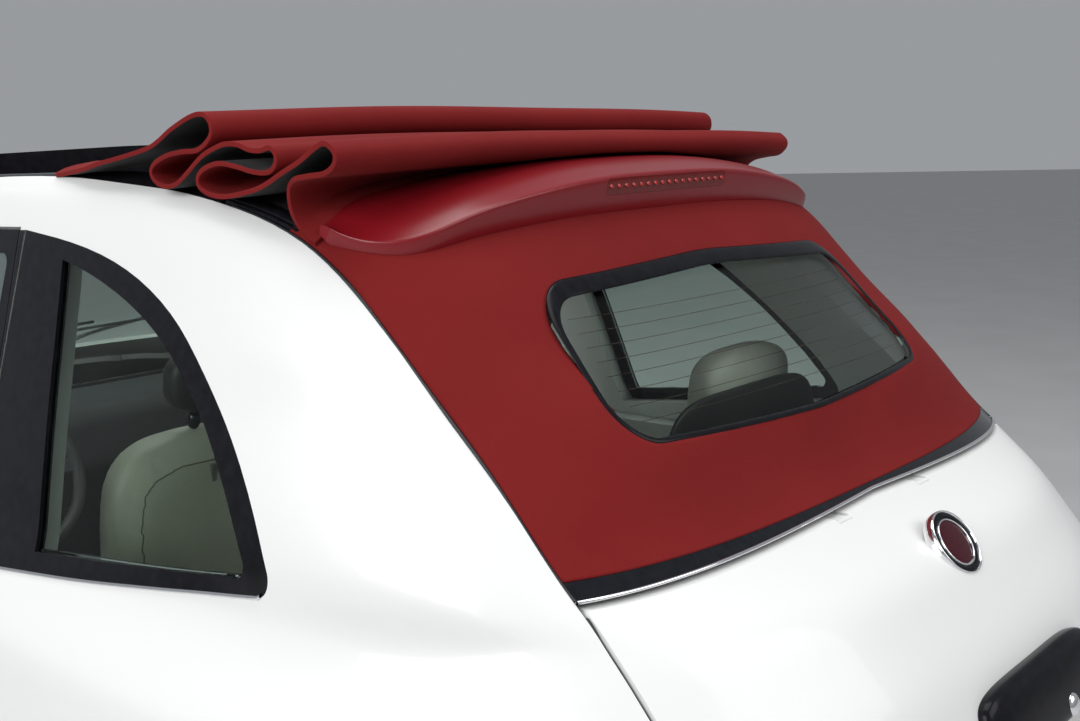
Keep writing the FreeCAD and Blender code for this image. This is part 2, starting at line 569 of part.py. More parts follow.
rim_pts = [
    (HUB_R, 52), (HUB_R, 70), (70, 72), (90, 62), (170, 66), (186, 86), (193, 86), (194, 70),
    (178, 40), (172, -60), (186, -72), (193, -84), (187, -84), (166, -62), (166, 48), (90, 46),
    (70, 52),
]
rim_face = Part.Face(Part.Wire([
    Part.makePolygon([Vector(0, y, r) for r, y in rim_pts] + [Vector(0, rim_pts[0][1], rim_pts[0][0])])
]))
rim = rim_face.revolve(Vector(0, 0, 0), Vector(0, 1, 0), 360)
spoke_gap = [(108, -22, 12), (160, -40, 12), (160, 40, 12), (108, 22, 12)]
for k in range(5):
    hole = Part.Face(rounded_wire(spoke_gap)).extrude(Vector(0, 0, 60))
    hole.rotate(Vector(0, 0, 0), Vector(1, 0, 0), -90)
    hole.translate(Vector(0, 30, 0))
    hole.rotate(Vector(0, 0, 0), Vector(0, 1, 0), 72.0 * k + 90)
    rim = rim.cut(hole)

for name, x, y in (("fl", FRONT_AXLE_X, TRACK_F / 2), ("rl", REAR_AXLE_X, TRACK_R / 2)):
    for label, piece in (("tyre_", tyre), ("rim_", rim)):
        left = piece.copy()
        left.translate(Vector(x, y, TYRE_R))
        export(label + name, left)
        export(label + name[0] + "r", mirrored(left))

# Front suspension and rear axle
hub = cylinder(45, 60, (FRONT_AXLE_X, 600, TYRE_R), (0, 1, 0))
stub = cylinder(STUB_R, 118, (FRONT_AXLE_X, 655, TYRE_R), (0, 1, 0))
upright = box(FRONT_AXLE_X - 22, FRONT_AXLE_X + 22, 628, 658, 208, 330)
knee = box(FRONT_AXLE_X - 12, FRONT_AXLE_X + 12, 640, 676, 208, 232)
ball_pin = Part.makeSphere(14, ball).fuse(cylinder(8, 32, tuple(ball), (0, 0, 1)))
arm = box(FRONT_AXLE_X - 20, FRONT_AXLE_X + 20, 548, 640, 322, 350)
clamp = box(FRONT_AXLE_X - 20, FRONT_AXLE_X + 20, 548, 592, 322, 470)
strut = cylinder(24, 339.9, (FRONT_AXLE_X, 570, 460), (0, -10, 360))
strut = strut.common(box(0, 2000, 0, 900, 0, 780))
top_pin = Part.makeCylinder(8, 44, ball + pin_way * 584, pin_way)
knuckle = hub.fuse([stub, upright, knee, ball_pin, arm, clamp, strut, top_pin]).removeSplitter()

socket = Part.makeSphere(14.3, ball).fuse(cylinder(14.3, 60, tuple(ball), (0, 0, 1)))
lower_arm = box(FRONT_AXLE_X - 20, FRONT_AXLE_X + 20, 330, 690, 178, 200).cut(socket)
subframe = box(940, 1220, -430, 430, 200, 225).cut(box(1000, 1160, -260, 260, 150, 300))
posts = [box(950, 1000, 390, 430, 225, 330), box(1160, 1210, 390, 430, 225, 330)]
front_subframe = subframe.fuse([lower_arm, mirrored(lower_arm)] + posts)
front_subframe = front_subframe.fuse([mirrored(p) for p in posts]).removeSplitter()
rail = box(715, 1700, 385, 440, 330, 430).common(liner_seat)
front_subframe = front_subframe.fuse([rail, mirrored(rail)]).removeSplitter()

rear_beam = box(-1120, -1060, -590, 590, 270, 330)
trail = box(REAR_AXLE_X - 30, -840, 560, 592, 262, 322)
trail = trail.fuse(box(-880, -840, 560, 592, 225, 263))
rear_stub = cylinder(STUB_R, 185, (REAR_AXLE_X, 585, TYRE_R), (0, 1, 0))
rear_axle = rear_beam.fuse([trail, mirrored(trail), rear_stub, mirrored(rear_stub)])
rear_axle = rear_axle.removeSplitter()

# Engine, seats, dashboard, steering wheel
engine = box(1110, 1420, -330, 330, 340, 740).fuse([
    box(1030, 1115, -100, 100, 250, 420),
    box(1165, 1205, -320, -280, 225, 345), box(1165, 1205, 280, 320, 225, 345),
]).removeSplitter()
shafts = [cylinder(14, 475, (FRONT_AXLE_X, 100, TYRE_R), (0, 1, 0))]
dash_profile = [(719.7, 640, 10), (719.7, 930, 40), (520, 900, 60), (500, 760, 40), (600, 640, 40)]
dashboard = side_prism(dash_profile, -615, 615)
seat_cushions = []
seat_frames = []
seat_backs = []
seat_heads = []
for y in (-345.0, 345.0):
    seat_frames.append(box(-300, 150, y - 150, y + 150, 246, 299.7))
    c = box(-330, 200, y - 245, y + 245, 300, 470)
    seat_cushions.append(c.makeFillet(40, c.Edges))
    b = box(-470, -350, y - 245, y + 245, 480, 980)
    b = b.makeFillet(40, b.Edges)
    b.rotate(Vector(-400, y, 480), Vector(0, 1, 0), -14)
    seat_backs.append(b)
    lower = b.copy()
    lower.translate(Vector(0, 0, -SEAT_GAP))
    bracket = box(-430, -336, y - 150, y + 150, 246, 299.7)
    bracket = bracket.fuse(box(-430, -360, y - 150, y + 150, 246, 505)).cut(lower)
    seat_frames.append(bracket)
    h = box(-450, -370, y - 120, y + 120, 1010, 1190)
    h = h.makeFillet(35, h.Edges)
    h.rotate(Vector(-400, y, 480), Vector(0, 1, 0), -14)
    seat_heads.append(h)
    for dy in (-60, 60):
        post = cylinder(6, 29.4, (-410, y + dy, 980.3), (0, 0, 1))
        post.rotate(Vector(-400, y, 480), Vector(0, 1, 0), -14)
        seat_frames.append(post)
rc = box(-1010, -600, -520, 520, 440.3, 560)
rear_cushion = rc.makeFillet(40, rc.Edges)
rb = box(-1120, -1010.3, -520, 520, 440.3, 930)
rear_back = rb.makeFillet(35, rb.Edges)
wheel_at = Vector(420, 345, 800)
hub_disc = cylinder(52, 34, (0, 0, -20), (0, 0, 1))
spokes = [box(-170, 170, -16, 16, -8, 6), box(-16, 16, -170, 0, -8, 6)]
shaft = cylinder(14, 110, (0, 0, -125), (0, 0, 1))
steering_wheel = Part.makeTorus(174, 14).fuse([hub_disc, shaft] + spokes).removeSplitter()
steering_wheel.rotate(Vector(0, 0, 0), Vector(0, 0, 1), 90)
steering_wheel.rotate(Vector(0, 0, 0), Vector(0, 1, 0), -64)
steering_wheel.translate(wheel_at)
column_way = Vector(-math.sin(math.radians(64)), 0, math.cos(math.radians(64)))
column_hole = Part.makeCylinder(14.3, 300, wheel_at - column_way * 300, column_way)
dashboard = dashboard.cut(column_hole)

# Door mirrors
mirror = Part.makeSphere(80, Vector(585, 880, 955))
mirror = mirror.common(box(560, 680, 800, 990, 895, 1015))
mirror_arm = box(612, 655, 700, 860, 905, 940)
mirror = mirror.fuse(mirror_arm).cut(body_form(-SEAT_GAP, 0.0, 830.0)).removeSplitter()

hinge_leaves = door_leaves + [mirrored(f) for f in door_leaves] + bonnet_leaves + lid_leaves
nodes = {
    "door_left": door, "door_right": mirrored(door),
    "door_frame_left": door_frame, "door_frame_right": mirrored(door_frame),
    "door_glass_left": door_glass, "door_glass_right": mirrored(door_glass),
    "mirror_left": mirror, "mirror_right": mirrored(mirror),
    "quarter_glass": Part.makeCompound([quarter_glass, mirrored(quarter_glass)]),
    "quarter_seals": Part.makeCompound([quarter_seal, mirrored(quarter_seal)]),
    "windscreen": windscreen, "windscreen_frame": windscreen_frame,
    "bonnet": bonnet, "bumper_front": bumper_front, "grille": grille,
    "headlamps": Part.makeCompound([headlamp, mirrored(headlamp)]),
    "front_wings": Part.makeCompound([wing, mirrored(wing)]),
    "bumper_rear": bumper_rear, "boot_lid": boot_lid, "boot_handle": boot_handle,
    "tail_lamps": Part.makeCompound([tail_lamp, mirrored(tail_lamp)]),
    "soft_top_rear": soft_top_rear, "rear_window": rear_window, "rear_strip": rear_strip,
    "soft_top_folds": soft_top_folds, "spoiler": spoiler, "brake_lamp": brake_lamp,
    "guide_rails": Part.makeCompound([guide_rail, mirrored(guide_rail)]),
    "wind_deflector": wind_deflector, "parcel_shelf": parcel_shelf,
    "body_side_left": side, "body_side_right": mirrored(side),
    "floor": floor, "wheel_housings": wheel_housings,
    "rear_deck": rear_deck, "hinge_leaves": Part.makeCompound(hinge_leaves),
    "seat_frames": Part.makeCompound(seat_frames),
    "knuckle_left": knuckle, "knuckle_right": mirrored(knuckle),
    "front_subframe": front_subframe, "rear_axle": rear_axle, "engine": engine,
    "drive_shafts": Part.makeCompound(shafts + [mirrored(s) for s in shafts]),
    "dashboard": dashboard, "steering_wheel": steering_wheel,
    "seat_cushions": Part.makeCompound(seat_cushions),
    "seat_backs": Part.makeCompound(seat_backs + seat_heads),
    "rear_seat": Part.makeCompound([rear_cushion, rear_back]),
}
for name, shape in nodes.items():
    export(name, shape)
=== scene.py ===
import json
import math
from collections import namedtuple

import bmesh
import bpy
import numpy as np
from mathutils import Matrix, Vector


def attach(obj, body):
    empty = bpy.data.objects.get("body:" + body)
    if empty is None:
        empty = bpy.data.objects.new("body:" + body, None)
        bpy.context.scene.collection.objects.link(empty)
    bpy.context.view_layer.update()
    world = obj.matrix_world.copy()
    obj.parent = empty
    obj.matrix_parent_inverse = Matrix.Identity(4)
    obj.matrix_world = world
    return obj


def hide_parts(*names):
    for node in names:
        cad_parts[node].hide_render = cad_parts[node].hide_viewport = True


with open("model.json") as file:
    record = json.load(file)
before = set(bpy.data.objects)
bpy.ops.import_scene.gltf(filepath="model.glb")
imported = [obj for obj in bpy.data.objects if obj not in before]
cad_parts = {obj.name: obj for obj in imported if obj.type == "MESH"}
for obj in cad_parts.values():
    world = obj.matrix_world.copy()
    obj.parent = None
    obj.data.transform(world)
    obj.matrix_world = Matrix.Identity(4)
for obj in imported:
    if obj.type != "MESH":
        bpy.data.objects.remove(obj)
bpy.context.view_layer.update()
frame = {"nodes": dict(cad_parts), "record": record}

# Sizes in millimetres: x forward, y to the left, z up from the ground
MM = 0.001
MID_X = -200.0                  # the body's plan sections are laid out fore and aft of this
FRONT_AXLE_X, REAR_AXLE_X = 1073.0, -1227.0
FRONT_TRACK_HALF, REAR_TRACK_HALF = 707.0, 704.0
TYRE_RADIUS = 292.0
SEAT_Y = 345.0                  # middle of a front seat
BACK_LEAN = math.radians(-8.0)  # front seat backs
REAR_HEAD_Y = 0.96 * SEAT_Y
DOOR_HINGE = (650.0, 780.0)     # x, y of the left door's hinge line
SWING_GAP = (980.5, 985.5)      # radii of the door's edge and of the pillar's edge round it
ROOF_SEAM_Y = 538.3             # gap between the canvas and the painted sides
LID_SEAM_Y = 537.6              # gap between the boot lid and the painted sides
SKIN_OUT = (0.0, 0.96, 0.28)    # outward from the side of the body
SKIN_UP = (0.0, -0.28, 0.96)    # up along the side of the body


# Materials
def material(name):
    """A new node material with its principled shader; returns (material, nodes, links, shader)."""
    m = bpy.data.materials.new(name)
    m.use_nodes = True
    nt = m.node_tree
    return m, nt.nodes, nt.links, nt.nodes["Principled BSDF"]


def coords(nodes):
    """Object coordinates."""
    return nodes.new("ShaderNodeTexCoord").outputs["Object"]


def noise(nodes, links, vec, scale, detail, rough=0.5):
    """Noise texture factor."""
    n = nodes.new("ShaderNodeTexNoise")
    n.inputs["Scale"].default_value = scale
    n.inputs["Detail"].default_value = detail
    n.inputs["Roughness"].default_value = rough
    links.new(vec, n.inputs["Vector"])
    return n.outputs["Fac"]


def ramp(nodes, links, fac, stops):
    """Colour ramp with the given (position, colour) stops."""
    r = nodes.new("ShaderNodeValToRGB")
    els = r.color_ramp.elements
    while len(els) < len(stops):
        els.new(0.5)
    for e, (p, c) in zip(els, stops):
        e.position = p
        e.color = (*c, 1.0)
    links.new(fac, r.inputs["Fac"])
    return r.outputs["Color"]


def to_range(nodes, links, fac, lo, hi):
    """Map a factor from 0..1 to lo..hi."""
    m = nodes.new("ShaderNodeMapRange")
    m.inputs["To Min"].default_value = lo
    m.inputs["To Max"].default_value = hi
    links.new(fac, m.inputs["Value"])
    return m.outputs["Result"]


def bump(nodes, links, height, strength, distance, shader):
    """Bump from a height factor."""
    b = nodes.new("ShaderNodeBump")
    b.inputs["Strength"].default_value = strength
    b.inputs["Distance"].default_value = distance
    links.new(height, b.inputs["Height"])
    links.new(b.outputs["Normal"], shader.inputs["Normal"])


def plain(name, dark, light, rough, scale, metal=0.0, coat=0.0, bump_by=0.0, bump_dist=0.0005,
          spec=0.5):
    """Solid colour with fine variation of colour, roughness and, where asked for, height."""
    m, nodes, links, sh = material(name)
    vec = coords(nodes)
    fac = noise(nodes, links, vec, scale, 4.0)
    links.new(ramp(nodes, links, fac, [(0.3, dark), (0.7, light)]), sh.inputs["Base Color"])
    links.new(to_range(nodes, links, fac, *rough), sh.inputs["Roughness"])
    sh.inputs["Metallic"].default_value = metal
    sh.inputs["Coat Weight"].default_value = coat
    sh.inputs["Coat Roughness"].default_value = 0.04
    sh.inputs["Specular IOR Level"].default_value = spec
    if bump_by:
        bump(nodes, links, fac, bump_by, bump_dist, sh)
    return m


def combine(nodes, links, operation, a, b):
    """A math node on two sockets or numbers."""
    m = nodes.new("ShaderNodeMath")
    m.operation = operation
    for socket, value in zip(m.inputs, (a, b)):
        if isinstance(value, float):
            socket.default_value = value
        else:
            links.new(value, socket)
    return m.outputs[0]


def woven(name, dark, light, pitch, rough, sheen):
    """Woven cloth: two crossing bands a thread apart for the weave, over a slow fade of colour."""
    m, nodes, links, sh = material(name)
    vec = coords(nodes)
    slow = noise(nodes, links, vec, 5.0, 5.0, 0.6)
    fine = noise(nodes, links, vec, 1200.0, 2.0)
    heights = []
    for axis in ("X", "Y"):
        w = nodes.new("ShaderNodeTexWave")
        w.bands_direction = axis
        w.inputs["Scale"].default_value = 0.314 / pitch
        w.inputs["Distortion"].default_value = 0.6
        links.new(vec, w.inputs["Vector"])
        heights.append(w.outputs["Fac"])
    weave = combine(nodes, links, "ADD", combine(nodes, links, "MULTIPLY", *heights), fine)
    shade = combine(nodes, links, "ADD", combine(nodes, links, "MULTIPLY", slow, 0.6),
                    combine(nodes, links, "MULTIPLY", fine, 0.4))
    links.new(ramp(nodes, links, shade, [(0.3, dark), (0.7, light)]), sh.inputs["Base Color"])
    links.new(to_range(nodes, links, fine, *rough), sh.inputs["Roughness"])
    sh.inputs["Sheen Weight"].default_value = sheen
    sh.inputs["Specular IOR Level"].default_value = 0.2
    bump(nodes, links, weave, 0.35, 0.0003, sh)
    return m


def glass_material(name, tint):
    """Tinted window glass, thin enough to bend the view only a little."""
    m, nodes, links, sh = material(name)
    vec = coords(nodes)
    fac = noise(nodes, links, vec, 3.0, 3.0)
    lighter = tuple(min(1.0, c * 1.03) for c in tint)
    links.new(ramp(nodes, links, fac, [(0.2, tint), (0.8, lighter)]), sh.inputs["Base Color"])
    sh.inputs["Roughness"].default_value = 0.0
    sh.inputs["Transmission Weight"].default_value = 1.0
    sh.inputs["IOR"].default_value = 1.16
    return m


paint = plain("pearl_paint", (0.71, 0.71, 0.70), (0.74, 0.74, 0.73), (0.34, 0.40), 1400.0,
              coat=0.25, spec=0.4)
canvas = woven("cherry_canvas", (0.140, 0.0055, 0.0060), (0.175, 0.0085, 0.0085), 0.0011, (0.82, 0.96),
               sheen=0.0)
lining = woven("roof_lining", (0.012, 0.010, 0.011), (0.022, 0.018, 0.019), 0.002, (0.85, 0.98),
               sheen=0.05)
spoiler_satin = plain("spoiler_satin", (0.175, 0.0045, 0.0085), (0.190, 0.006, 0.0105), (0.26, 0.31), 500.0,
                      spec=0.45)
gloss_black = plain("gloss_black", (0.005, 0.005, 0.006), (0.009, 0.009, 0.012), (0.16, 0.24), 60.0,
                    spec=0.12)
seal_black = plain("seal_rubber", (0.010, 0.011, 0.014), (0.017, 0.019, 0.024), (0.42, 0.55), 260.0,
                   bump_by=0.15)
rubber = plain("tyre_rubber", (0.014, 0.014, 0.015), (0.022, 0.022, 0.023), (0.6, 0.85), 220.0,
               bump_by=0.25)
chrome = plain("bright_trim", (0.80, 0.80, 0.82), (0.86, 0.86, 0.88), (0.05, 0.1), 80.0, metal=1.0)
dark_chrome = plain("dark_trim", (0.045, 0.048, 0.056), (0.060, 0.064, 0.074), (0.05, 0.08), 80.0,
                    metal=1.0)
alloy = plain("rim_alloy", (0.50, 0.51, 0.53), (0.58, 0.59, 0.61), (0.25, 0.35), 200.0, metal=1.0)
iron = plain("cast_iron", (0.05, 0.05, 0.052), (0.10, 0.10, 0.10), (0.5, 0.8), 60.0, metal=0.6,
             bump_by=0.2)
steel = plain("turned_steel", (0.32, 0.32, 0.33), (0.42, 0.42, 0.43), (0.3, 0.45), 150.0, metal=1.0)
dark_paint = plain("underbody", (0.016, 0.016, 0.017), (0.03, 0.03, 0.03), (0.5, 0.8), 50.0,
                   bump_by=0.2)
plastic = plain("grained_plastic", (0.020, 0.020, 0.022), (0.032, 0.032, 0.035), (0.5, 0.7), 700.0,
                bump_by=0.3, bump_dist=0.0003)
carpet = plain("carpet", (0.012, 0.012, 0.013), (0.035, 0.035, 0.037), (0.9, 1.0), 900.0,
               bump_by=0.8, bump_dist=0.001)
leather = plain("ivory_leather", (0.55, 0.53, 0.45), (0.62, 0.60, 0.52), (0.38, 0.55), 420.0,
                bump_by=0.35, bump_dist=0.0004)
# Dark leather: the real black of the shells behind the rear seat, and painted shade on the front head rests,
# which are ivory and look dark only in the shadow inside the car
black_leather_and_shade = plain("black_leather_and_shade", (0.018, 0.017, 0.017), (0.028, 0.026, 0.026), (0.4, 0.55), 420.0,
                      bump_by=0.35, bump_dist=0.0004)
thread = plain("seam_thread", (0.16, 0.15, 0.13), (0.26, 0.24, 0.20), (0.7, 0.9), 2500.0, bump_by=0.4)
lamp_red = plain("lamp_red", (0.14, 0.002, 0.002), (0.22, 0.004, 0.003), (0.10, 0.16), 90.0, spec=0.4)
lamp_clear = plain("lamp_clear", (0.55, 0.57, 0.60), (0.68, 0.70, 0.73), (0.05, 0.12), 90.0, coat=1.0)
led = plain("brake_diode", (0.30, 0.006, 0.005), (0.42, 0.015, 0.01), (0.1, 0.2), 400.0, coat=0.5)
lens_red = plain("brake_lens", (0.11, 0.002, 0.002), (0.16, 0.003, 0.002), (0.08, 0.14), 90.0, spec=0.4)
burgundy = plain("burgundy_enamel", (0.035, 0.002, 0.006), (0.055, 0.003, 0.009), (0.12, 0.2), 300.0,
                 spec=0.3)
plate_white = plain("blank_plate", (0.55, 0.55, 0.53), (0.62, 0.62, 0.60), (0.35, 0.5), 300.0)
heater = plain("heater_wire", (0.05, 0.03, 0.02), (0.09, 0.05, 0.03), (0.5, 0.7), 900.0)
clear = glass_material("clear_glass", (0.80, 0.88, 0.85))
dark_glass = glass_material("quarter_glass", (0.64, 0.73, 0.67))

# Finish of each record slot, and of the nodes that differ from their slot
LOOK = {
    "paint_white": paint, "clear_glass": clear, "gloss_black": gloss_black, "canvas": canvas,
    "spoiler_red": spoiler_satin, "bright_trim": chrome, "lamp_clear": lamp_clear,
    "lamp_red": lamp_red, "underbody": dark_paint, "knuckle_iron": iron, "engine_alloy": iron,
    "shaft_steel": steel, "dash_plastic": plastic, "seat_leather": leather,
    "tyre_rubber": rubber, "rim_alloy": alloy,
}
OWN_LOOK = {"quarter_glass": dark_glass, "floor": carpet, "parcel_shelf": carpet,
            "rear_deck": seal_black, "boot_handle": gloss_black, "rear_strip": dark_chrome,
            "hinge_leaves": paint, "brake_lamp": lens_red}
for part in frame["record"]["subparts"]:
    node = frame["nodes"][part["node"]]
    node.data.materials.clear()
    node.data.materials.append(OWN_LOOK.get(part["node"], LOOK[part["material_slot"]]))


# Shared mesh building
def smooth_path(points, count):
    """Curve through the points: each span is the cubic whose slope at a point is half the step
    between that point's neighbours. It is cut into equal steps along its length."""
    p = np.asarray(points, float)
    e = np.vstack([2 * p[0] - p[1], p, 2 * p[-1] - p[-2]])
    t = np.linspace(0, 1, 24, endpoint=False)[:, None, None]
    a, b, c, d = e[:-3], e[1:-2], e[2:-1], e[3:]
    q = 0.5 * (2 * b + (c - a) * t + (2 * a - 5 * b + 4 * c - d) * t ** 2
               + (3 * b - a - 3 * c + d) * t ** 3)
    q = np.vstack([q.transpose(1, 0, 2).reshape(-1, p.shape[1]), p[-1]])
    s = np.r_[0, np.cumsum(np.linalg.norm(np.diff(q, axis=0), axis=1))]
    w = np.linspace(0, s[-1], count)
    return np.stack([np.interp(w, s, q[:, k]) for k in range(q.shape[1])], -1)


def rounded_loop(corners, count):
    """Closed outline of (a, b, radius) corners, each turned by an arc, in equal steps."""
    pts = []
    n = len(corners)
    for i in range(n):
        a, b, r = corners[i]
        p = np.array([a, b], float)
        v1 = np.array(corners[i - 1][:2], float) - p
        v2 = np.array(corners[(i + 1) % n][:2], float) - p
        v1 /= np.linalg.norm(v1)
        v2 /= np.linalg.norm(v2)
        half = 0.5 * math.acos(max(-1.0, min(1.0, float(v1 @ v2))))
        mid = (v1 + v2) / np.linalg.norm(v1 + v2)
        centre = p + mid * (r / math.sin(half))
        start = p + v1 * (r / math.tan(half)) - centre
        end = p + v2 * (r / math.tan(half)) - centre
        a0 = math.atan2(start[1], start[0])
        turn = (math.atan2(end[1], end[0]) - a0 + math.pi) % (2 * math.pi) - math.pi
        ang = a0 + np.linspace(0, 1, 14) * turn
        pts.append(centre + r * np.stack([np.cos(ang), np.sin(ang)], -1))
    q = np.vstack(pts + [pts[0][:1]])
    s = np.r_[0, np.cumsum(np.linalg.norm(np.diff(q, axis=0), axis=1))]
    w = np.linspace(0, s[-1], count, endpoint=False)
    return np.stack([np.interp(w, s, q[:, 0]), np.interp(w, s, q[:, 1])], -1)


def grid_mesh(name, P, wrap_u=False, wrap_v=False, flip=False, weld=False):
    """Mesh of quads over a grid of points in millimetres; wrapped sides join up."""
    nu, nv = P.shape[:2]
    idx = np.arange(nu * nv).reshape(nu, nv)
    if wrap_u:
        idx = np.vstack([idx, idx[:1]])
    if wrap_v:
        idx = np.hstack([idx, idx[:, :1]])
    quads = np.stack([idx[:-1, :-1], idx[1:, :-1], idx[1:, 1:], idx[:-1, 1:]], -1).reshape(-1, 4)
    if flip:
        quads = quads[:, ::-1]
    me = bpy.data.meshes.new(name)
    me.from_pydata((P.reshape(-1, 3) * MM).tolist(), [], quads.tolist())
    if weld:
        bm = bmesh.new()
        bm.from_mesh(me)
        bmesh.ops.remove_doubles(bm, verts=bm.verts, dist=1e-6)
        bmesh.ops.recalc_face_normals(bm, faces=bm.faces)
        bm.to_mesh(me)
        bm.free()
    me.polygons.foreach_set("use_smooth", np.ones(len(me.polygons), bool))
    me.update()
    return me


def add(name, me, mat, body):
    """A finished piece from a mesh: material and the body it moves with."""
    ob = bpy.data.objects.new(name, me)
    bpy.context.scene.collection.objects.link(ob)
    for m in mat if isinstance(mat, tuple) else (mat,):
        me.materials.append(m)
    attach(ob, body)
    return ob


def joined(name, meshes):
    """One mesh from several."""
    bm = bmesh.new()
    for me in meshes:
        bm.from_mesh(me)
    out = bpy.data.meshes.new(name)
    bm.to_mesh(out)
    bm.free()
    for me in meshes:
        bpy.data.meshes.remove(me)
    out.polygons.foreach_set("use_smooth", np.ones(len(out.polygons), bool))
    out.update()
    return out


def mirror_y(P):
    """The same points on the other side of the car."""
    return P * np.array([1, -1, 1])


def both_sides(name, *grids, weld=True):
    """One mesh of closed sections on the left and their mirror images on the right; with weld off,
    of open grids."""
    sides = [grid_mesh(name, side, wrap_v=weld, weld=weld) for P in grids for side in (P, mirror_y(P))]
    return joined(name, sides)


def give_wall(piece, thickness, offset):
    """Thickness in metres for a piece that is an open grid."""
    wall = piece.modifiers.new("wall", "SOLIDIFY")
    wall.thickness = thickness
    wall.offset = offset
    return wall


def oval(half_a, half_b, mid_b=0.0, sides=12):
    """Closed cross-section: an ellipse of the given half sizes, its middle at (0, mid_b)."""
    w = np.linspace(0, 2 * np.pi, sides, endpoint=False)
    return np.stack([half_a * np.cos(w), mid_b + half_b * np.sin(w)], -1)


def spread(w, power):
    """A sine or cosine raised to a power with its sign kept: below one, it squares a circle off."""
    return np.sign(w) * np.abs(w) ** power


def along(direction, count):
    """The same direction at each of count points."""
    return np.tile(np.asarray(direction, float), (count, 1))


def grid_normals(P):
    """Unit normal at each grid point: the cross product of its steps along both sides."""
    n = np.cross(np.gradient(P, axis=0), np.gradient(P, axis=1))
    return n / np.maximum(np.linalg.norm(n, axis=-1, keepdims=True), 1e-9)


def sweep(path, across, up, profile):
    """A closed cross-section carried along a path: point + across * a + up * b for each (a, b)."""
    a, b = np.asarray(profile, float).T
    return path[:, None] + across[:, None] * a[None, :, None] + up[:, None] * b[None, :, None]


def tube(name, path, radius, sides=10):
    """Round bar along a path: a circle across the path's direction, with domed ends."""
    path = np.asarray(path, float)
    t = np.gradient(path, axis=0)
    t /= np.linalg.norm(t, axis=1, keepdims=True)
    ref = np.tile(np.eye(3)[np.argmin(np.abs(t).mean(0))], (len(t), 1))
    side = np.cross(t, ref)
    side /= np.linalg.norm(side, axis=1, keepdims=True)
    up = np.cross(side, t)
    r = np.r_[0.0, radius * 0.7, np.full(len(path), float(radius)), radius * 0.7, 0.0]
    path = np.vstack([path[:1]] * 2 + [path] + [path[-1:]] * 2)
    path[0] -= t[0] * radius
    path[1] -= t[0] * radius * 0.7
    path[-1] += t[-1] * radius
    path[-2] += t[-1] * radius * 0.7
    side = np.vstack([side[:1]] * 2 + [side] + [side[-1:]] * 2)
    up = np.vstack([up[:1]] * 2 + [up] + [up[-1:]] * 2)
    ang = np.linspace(0, 2 * np.pi, sides, endpoint=False)
    P = path[:, None] + r[:, None, None] * (side[:, None] * np.cos(ang)[None, :, None]
                                            + up[:, None] * np.sin(ang)[None, :, None])
    return grid_mesh(name, P, wrap_v=True, weld=True)


def revolve(name, profile, centre, axis, turns):
    """A (radius, along) profile turned about an axis through a centre."""
    r, h = np.asarray(profile, float).T
    w = np.asarray(axis, float)
    w /= np.linalg.norm(w)
    ref = np.eye(3)[np.argmin(np.abs(w))]
    u = np.cross(w, ref)
    u /= np.linalg.norm(u)
    v = np.cross(w, u)
    ang = np.linspace(0, 2 * np.pi, turns, endpoint=False)
    ring = u * np.cos(ang)[:, None] + v * np.sin(ang)[:, None]
    P = np.asarray(centre, float) + ring[:, None] * r[None, :, None] + w * h[None, :, None]
    return grid_mesh(name, P, wrap_u=True, weld=True)


def snap(P, node):
    """The points moved to the nearest place on the surface of a node or piece."""
    me = bpy.data.meshes.new("snap")
    me.from_pydata((P.reshape(-1, 3) * MM).tolist(), [], [])
    ob = bpy.data.objects.new("snap", me)
    bpy.context.scene.collection.objects.link(ob)
    mod = ob.modifiers.new("snap", "SHRINKWRAP")
    mod.target = frame["nodes"][node] if isinstance(node, str) else node
    mod.wrap_method = "NEAREST_SURFACEPOINT"
    dg = bpy.context.evaluated_depsgraph_get()
    out = bpy.data.meshes.new_from_object(ob.evaluated_get(dg))
    co = np.empty(len(out.vertices) * 3)
    out.vertices.foreach_get("co", co)
    bpy.data.objects.remove(ob)
    bpy.data.meshes.remove(me)
    bpy.data.meshes.remove(out)
    return co.reshape(P.shape) / MM


# Body surface, as in the solids: z, x_front, n_front, m_front, x_rear, n_rear, m_rear, half width
SECTIONS = np.array([
    (180, 1640, 9.0, 3.8, -1640, 9.0, 4.3, 712), (250, 1715, 9.0, 3.9, -1712, 9.0, 4.4, 758),
    (350, 1760, 9.0, 4.0, -1758, 8.8, 4.4, 790), (480, 1773, 8.8, 3.9, -1773, 8.0, 4.2, 805),
    (600, 1755, 8.2, 3.6, -1768, 6.6, 3.7, 809), (700, 1700, 7.4, 3.2, -1752, 5.2, 3.2, 806),
    (770, 1625, 6.9, 2.9, -1736, 4.5, 3.0, 799), (830, 1500, 6.5, 2.6, -1712, 4.6, 3.0, 783),
    (880, 1345, 6.2, 2.5, -1680, 4.9, 3.0, 748), (920, 1200, 5.6, 2.4, -1648, 5.4, 3.0, 722),
    (960, 1055, 5.0, 2.4, -1600, 6.24, 3.0, 706), (1010, 928, 5.0, 2.4, -1500, 10.3, 3.0, 692),
    (1110, 790, 5.0, 2.4, -1425, 9.0, 3.0, 664), (1210, 652, 5.0, 2.4, -1330, 9.0, 3.0, 634),
    (1310, 514, 5.0, 2.4, -1238, 9.0, 3.0, 604), (1370, 431, 5.0, 2.4, -1180, 8.0, 3.0, 586),
    (1415, 369, 4.5, 2.4, -1115, 6.0, 3.0, 571), (1445, 275, 4.0, 2.4, -1010, 4.5, 3.0, 557),
    (1465, 150, 3.5, 2.4, -860, 3.5, 3.0, 542), (1473, 80, 3.25, 2.4, -745, 3.25, 3.0, 520),
    (1480, -10, 3.0, 2.4, -600, 3.0, 3.0, 480)])


